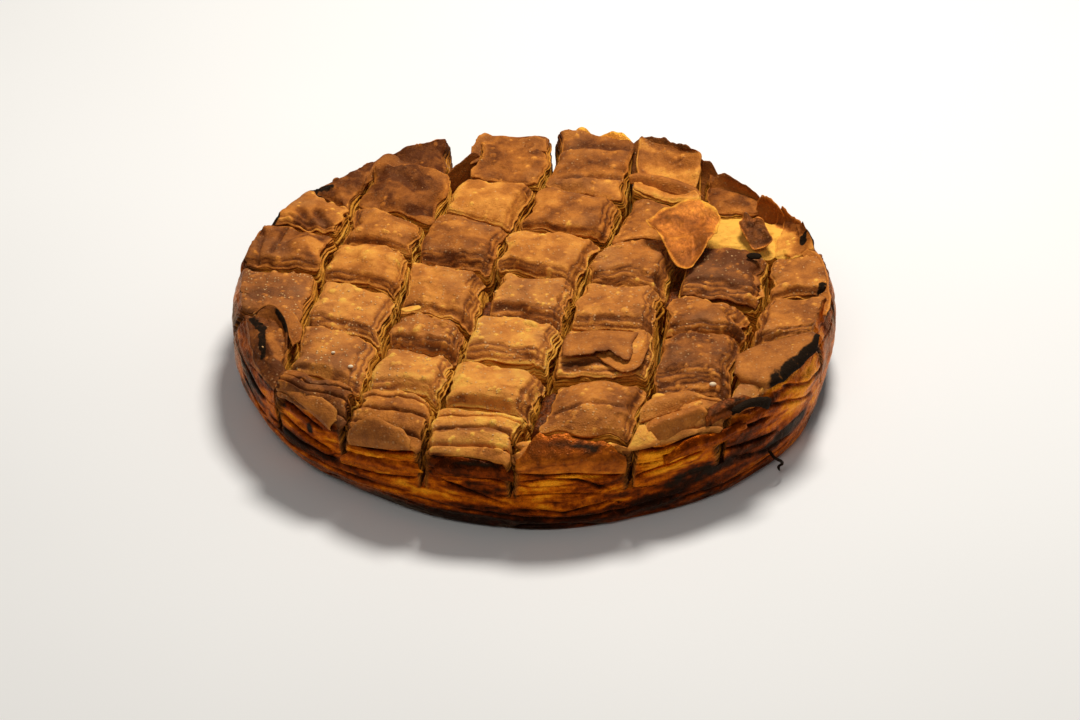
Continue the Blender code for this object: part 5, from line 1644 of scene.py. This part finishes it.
def filling_material():
    """Wet filling: olive at the bottom of the cuts and red-brown where it is squeezed up."""
    shader = Shader("wet_filling")
    stain = shader.mask("skin")[0]
    lump = shader.noise(0.0016, 4.0, 0.65)
    olive = shader.ramp(lump, [(0.3, colour(0.055, 0.030, 0.006)), (0.7, colour(0.22, 0.12, 0.02))])
    red = shader.ramp(lump, [(0.3, colour(0.016, 0.004, 0.001)), (0.52, colour(0.13, 0.026, 0.004)),
                             (0.75, colour(0.36, 0.095, 0.012))])
    base = shader.mix(stain.between(0.3, 0.7), olive, red)
    bump = shader.add("ShaderNodeBump", None, {"Strength": 0.8, "Distance": 0.001, "Height": lump})
    rough = 0.22 + lump * 0.3
    return shader.finish({"Base Color": base, "Roughness": rough, "Normal": bump, "Specular IOR Level": 0.2,
                          "Specular Tint": SHEEN})


def crumb_material(name, darkest, palest):
    """Dry crumbs between two colours."""
    shader = Shader(name)
    cloud = shader.noise(0.004, 2.0)
    base = shader.ramp(cloud, [(0.35, darkest), (0.65, palest)])
    return shader.finish({"Base Color": base, "Roughness": 0.6, "Specular IOR Level": 0.2})


def floor_material():
    """The plain pale floor."""
    shader = Shader("pale_floor")
    cloud = shader.noise(0.4, 2.0)
    shade = shader.ramp(cloud, [(0.3, colour(0.86, 0.87, 0.885)), (0.7, colour(0.90, 0.91, 0.925))])
    return shader.finish({"Base Color": shade, "Roughness": 0.9})


# ---------------------------------------------------------------- stage
# The camera, in metres from the middle of the underside, and degrees.
CAMERA_PLACE = (0.00224, -1.08976, 0.71809)
CAMERA_DOWN = 33.418
CAMERA_ROLL = -0.1776
CAMERA_LENS = 93.33
FLOOR_HALF = 6.0
# Soft lights: name, place, size, power, tint.
LIGHTS = [
    ("key", (0.18, 0.44, 1.05), 0.34, 13.0, (1.0, 0.95, 0.87)),
    ("fill", (-0.3, -1.0, 1.2), 0.6, 3.2, (1.0, 0.96, 0.90)),
]
ROOM_LIGHT = colour(1.0, 0.965, 0.91)
ROOM_POWER = 0.15


def add_camera():
    """The camera, looking down at the pie from the front."""
    camera = bpy.data.cameras.new("camera")
    camera.lens, camera.sensor_width = CAMERA_LENS, 36.0
    camera.clip_start, camera.clip_end = 0.01, 20.0
    made = placed("camera", camera)
    tilt = Matrix.Rotation(math.radians(90 - CAMERA_DOWN), 4, "X")
    roll = Matrix.Rotation(math.radians(CAMERA_ROLL), 4, "Z")
    made.matrix_world = Matrix.Translation(CAMERA_PLACE) @ tilt @ roll
    bpy.context.scene.camera = made


def add_light(name, place, size, power, tint):
    """A round soft light that faces the pie."""
    light = bpy.data.lights.new(name, "AREA")
    light.shape, light.size, light.energy, light.color = "DISK", size, power, tint
    made = placed(name, light)
    made.location = place
    made.rotation_euler = (-Vector(place)).to_track_quat("-Z", "Y").to_euler()


def add_stage():
    """Floor, lights and room."""
    corners = [(x * FLOOR_HALF, y * FLOOR_HALF, 0) for x, y in ((-1, -1), (1, -1), (1, 1), (-1, 1))]
    mesh = bpy.data.meshes.new("floor")
    mesh.from_pydata(corners, [], [(0, 1, 2, 3)])
    mesh.materials.append(floor_material())
    floor = placed("floor", mesh)
    world = bpy.data.worlds.new("studio")
    world.use_nodes = True
    background = world.node_tree.nodes["Background"]
    background.inputs["Color"].default_value = ROOM_LIGHT
    background.inputs["Strength"].default_value = ROOM_POWER
    bpy.context.scene.world = world
    for light in LIGHTS:
        add_light(*light)
    bpy.context.scene.view_settings.view_transform = "Standard"


# ---------------------------------------------------------------- the pie
def main():
    """Build the stage and every piece of the pie."""
    add_camera()
    add_stage()
    pastry = pastry_material()
    lower = add_mesh("wall_of_leaves", *lower_pastry_mesh(), pastry)
    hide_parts("lower_pastry")
    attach(lower, "root")
    wet = add_mesh("wet_filling", *filling_mesh(), filling_material())
    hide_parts("filling")
    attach(wet, "root")
    pieces = {}
    for name in TOPS:
        made = add_mesh(f"leaves_{name}", *build_piece(name), pastry)
        pieces[name] = made
        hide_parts(f"piece_{name}")
        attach(made, "root")
    for number, (name, measures) in enumerate(FREE_LEAVES.items()):
        made = add_mesh(f"torn_{name}", *free_leaf(*measures, seed=50 + 9 * number), pastry)
        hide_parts(name)
        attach(made, "root")
    single_crumbs(pieces.values(), crumb_material("curd_crumbs", *CURD))
    strew_crumbs(pieces, crumb_material("pale_crumbs", *FLAKES))


main()
